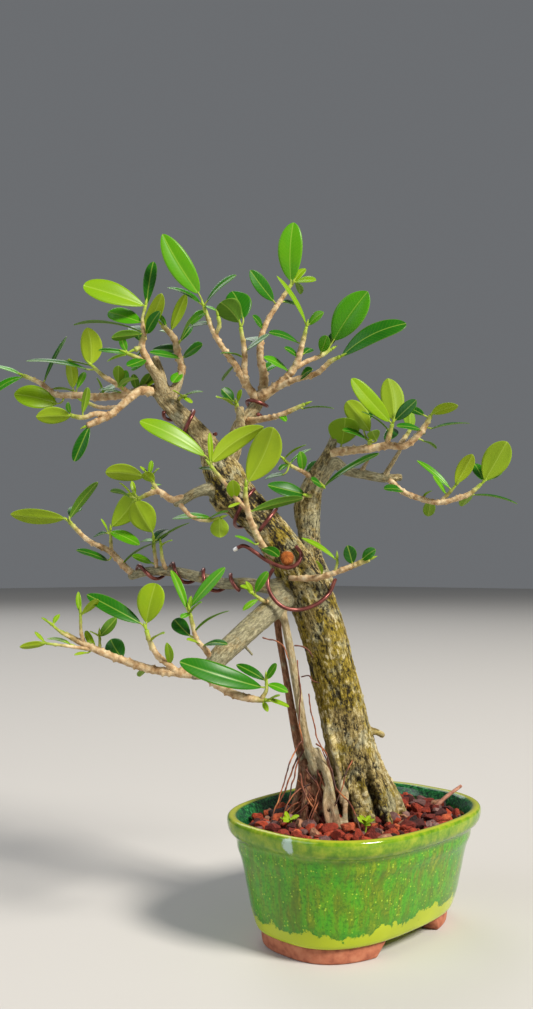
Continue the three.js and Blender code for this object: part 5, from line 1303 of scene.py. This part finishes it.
def twig_finish():
    """Young fig wood: pale tan, knobbly skin that is yellow green near each tip, dry to the touch."""
    m, shader = new_material("twig_skin", {"Roughness": 0.62, "IOR": 1.42})
    whole = add_node(m, "TexCoord", output="Object")
    green = add_node(m, "Attribute", (), {"attribute_name": "green"}, output="Fac")
    tone = add_node(m, "TexNoise", {"Vector": whole, "Scale": 1 / (5 * MM), "Detail": 7, "Roughness": 0.6})
    tan, fresh = (
        add_node(m, "ValToRGB", {"Fac": tone}, (), stops)
        for stops in (
            [(0.32, "#86653e"), (0.72, "#dccba6"), (0.44, "#ac8c62"), (0.56, "#c6ad84")],
            [(0.3, "#6f8c16"), (0.72, "#a5c034")],
        )
    )
    rise = add_node(m, "Bump", {"Height": tone, "Strength": 0.4, "Distance": 0.0008})
    set_sockets(shader, {"Base Color": layered(m, tan, [(fresh, green)]), "Normal": rise})
    return m


def leaf_finish():
    """Fig leaf: a waxed, leathery blade. The upper face is dark and glossy when mature and yellow green
    when young; the underside is paler and duller. The midrib and rim are pale."""
    m, shader = new_material("fig_leaf", {"IOR": 1.42, "Specular IOR Level": 0.3})
    whole = add_node(m, "TexCoord", output="Object")
    spread = add_node(m, "Attribute", (), {"attribute_name": "spread"}, output="Vector")
    under, youth, tint = (
        add_node(m, "Attribute", (), {"attribute_name": key}, output="Fac") for key in ("under", "youth", "tint")
    )
    along, across, rim = add_node(m, "SeparateXYZ", {"Vector": spread}).node.outputs
    cloud = add_node(m, "TexNoise", {"Vector": whole, "Scale": 1 / (11 * MM), "Detail": 4})
    shift = add_node(m, "Math", {0: tint, 1: 0.26, 2: youth}, {"operation": "MULTIPLY_ADD"})
    shift = add_node(m, "Math", {0: cloud, 1: 0.25, 2: shift}, {"operation": "MULTIPLY_ADD"})
    shift = add_node(m, "Math", {0: shift, 1: 0.68}, {"operation": "MULTIPLY"})
    upper, lower = (
        add_node(m, "ValToRGB", {"Fac": shift}, (), stops)
        for stops in (
            [(0.08, "#114a06"), (1, "#88a20a"), (0.26, "#266f06"), (0.5, "#468f08"), (0.78, "#6e990a")],
            [(0.08, "#426b18"), (1, "#8ca214"), (0.4, "#5d8714"), (0.75, "#779514")],
        )
    )
    away = add_node(m, "Math", {0: across}, {"operation": "ABSOLUTE"})
    slant = add_node(m, "Math", {0: away, 1: -0.8, 2: along}, {"operation": "MULTIPLY_ADD"})
    stripe = add_node(m, "Math", {0: slant, 1: 2 * np.pi / VEIN_SPACING}, {"operation": "MULTIPLY"})
    stripe = add_node(m, "Math", {0: stripe}, {"operation": "SINE"})
    vein = add_node(
        m, "MapRange", {"Value": stripe, "From Min": 0.6, "From Max": 1, "To Max": 0.04},
        {"interpolation_type": "SMOOTHSTEP"},
    )
    colour = layered(m, upper, [
        (lower, under), ("#9dbb3c", vein), ("#a7bf4e", away, 0.6, 0.2, 0.34), ("#8fae3a", rim, 0.9, 1, 0.3),
    ])
    gloss = add_node(m, "MapRange", {"Value": under, "To Min": 0.34, "To Max": 0.55})
    rise = add_node(m, "Bump", {"Height": vein, "Strength": 0.2, "Distance": 0.0004})
    set_sockets(shader, {"Base Color": colour, "Roughness": gloss, "Normal": rise})
    return m


leaf_draw = np.random.default_rng(LEAF_SEED)
twig_skin_finish = twig_finish()
leaf_wax = leaf_finish()


def spray_wood(twigs, leaves, draw):
    """The shells of a spray's twigs, buds and stalks, and the greenness of all their points."""
    skins = [twig_skin(points, draw) for points in twigs]
    lines = [limb_stations(points, SPRAY_STEP)[0] for points in twigs]
    buds = [bud(points) for points in twigs]
    stalks = [leaf_stalk(leaf[:3], leaf[3:6], lines, order) for order, leaf in enumerate(leaves)]
    green = [tone for *_, tone in skins]
    green += [np.full(len(shell[0]), BUD_GREEN) for shell in buds]
    green += [np.full(len(shell[0]), STALK_GREEN) for shell in stalks]
    return skins + buds + stalks, np.concatenate(green)


def leaf_piece(name, blades, youth, tint):
    """Blades as one piece; youth and tint are one number for each blade, given to all its points."""
    _, _, spreads, unders = zip(*blades)
    count = len(unders[0])
    return make_piece(
        name, *gather(blades), leaf_wax, spread=np.vstack(spreads), under=np.concatenate(unders),
        youth=np.repeat(youth, count), tint=np.repeat(tint, count),
    )


for name, (spray_twigs, spray_leaves) in SPRAYS.items():
    wood, green = spray_wood(spray_twigs, spray_leaves, leaf_draw)
    twigs = make_piece(name + "_twigs", *gather(wood), twig_skin_finish, green=green)
    blades, tints = [], []
    for *spots, width, rise, _ in spray_leaves:
        blades.append(leaf_blade(spots[:3], spots[3:], width, rise, leaf_draw))
        tints.append(leaf_draw.uniform(0, 1))
    leaves = leaf_piece(name + "_leaves", blades, [leaf[-1] / 2 for leaf in spray_leaves], tints)
    for spray_piece in (twigs, leaves):
        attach(spray_piece, "root")
        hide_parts(name)


# ---- Seedlings ----
# Two weeds a few days old, rooted in the soil, that came up between the stones: a thread of a stem and six
# soft, bright leaves each.
SEEDLINGS = [[-51, -30, 80], [2, -43, 80]]
SEEDLING_SEED, SEEDLING_SIDES = 17, 8
SEEDLING_HEIGHT, SEEDLING_RADII = 8, [0.7, 0.6, 0.4]
SEEDLING_LEAVES, SEEDLING_LEAF, SEEDLING_WIDTH, SEEDLING_RISE = 6, 7, 3.4, 60  # count, length, width, rise
seedling_draw = np.random.default_rng(SEEDLING_SEED)
stems, sprout_blades = [], []
for across, away, up in SEEDLINGS:
    stem_top = np.array([across, away, up + SEEDLING_HEIGHT])
    stem = [[across, away, up], [across + 1, away, up + SEEDLING_HEIGHT / 2], stem_top]
    stem_centres, stem_radii, _ = limb_stations(np.column_stack([stem, SEEDLING_RADII]), SPRAY_STEP)
    stems.append(tube(stem_centres, stem_radii, SEEDLING_SIDES))
    even = np.arange(SEEDLING_LEAVES) * np.pi / 3
    for leaf_turn in even + seedling_draw.uniform(-0.4, 0.4, SEEDLING_LEAVES):
        direction = np.array([np.cos(leaf_turn), np.sin(leaf_turn), seedling_draw.uniform(0.1, 0.9)])
        leaf_foot = stem_top - [0, 0, seedling_draw.uniform(0, 3)]
        leaf_tip = leaf_foot + SEEDLING_LEAF * direction
        sprout_blades.append(leaf_blade(leaf_foot, leaf_tip, SEEDLING_WIDTH, SEEDLING_RISE, seedling_draw))
stem_points, stem_faces = gather(stems)
seedling_stems = make_piece(
    "seedling_stems", stem_points, stem_faces, twig_skin_finish, green=np.ones(len(stem_points))
)
bright = np.ones(len(sprout_blades))
seedling_leaves = leaf_piece("seedling_leaves", sprout_blades, bright, bright)
for seedling_piece in (seedling_stems, seedling_leaves):
    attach(seedling_piece, "root")
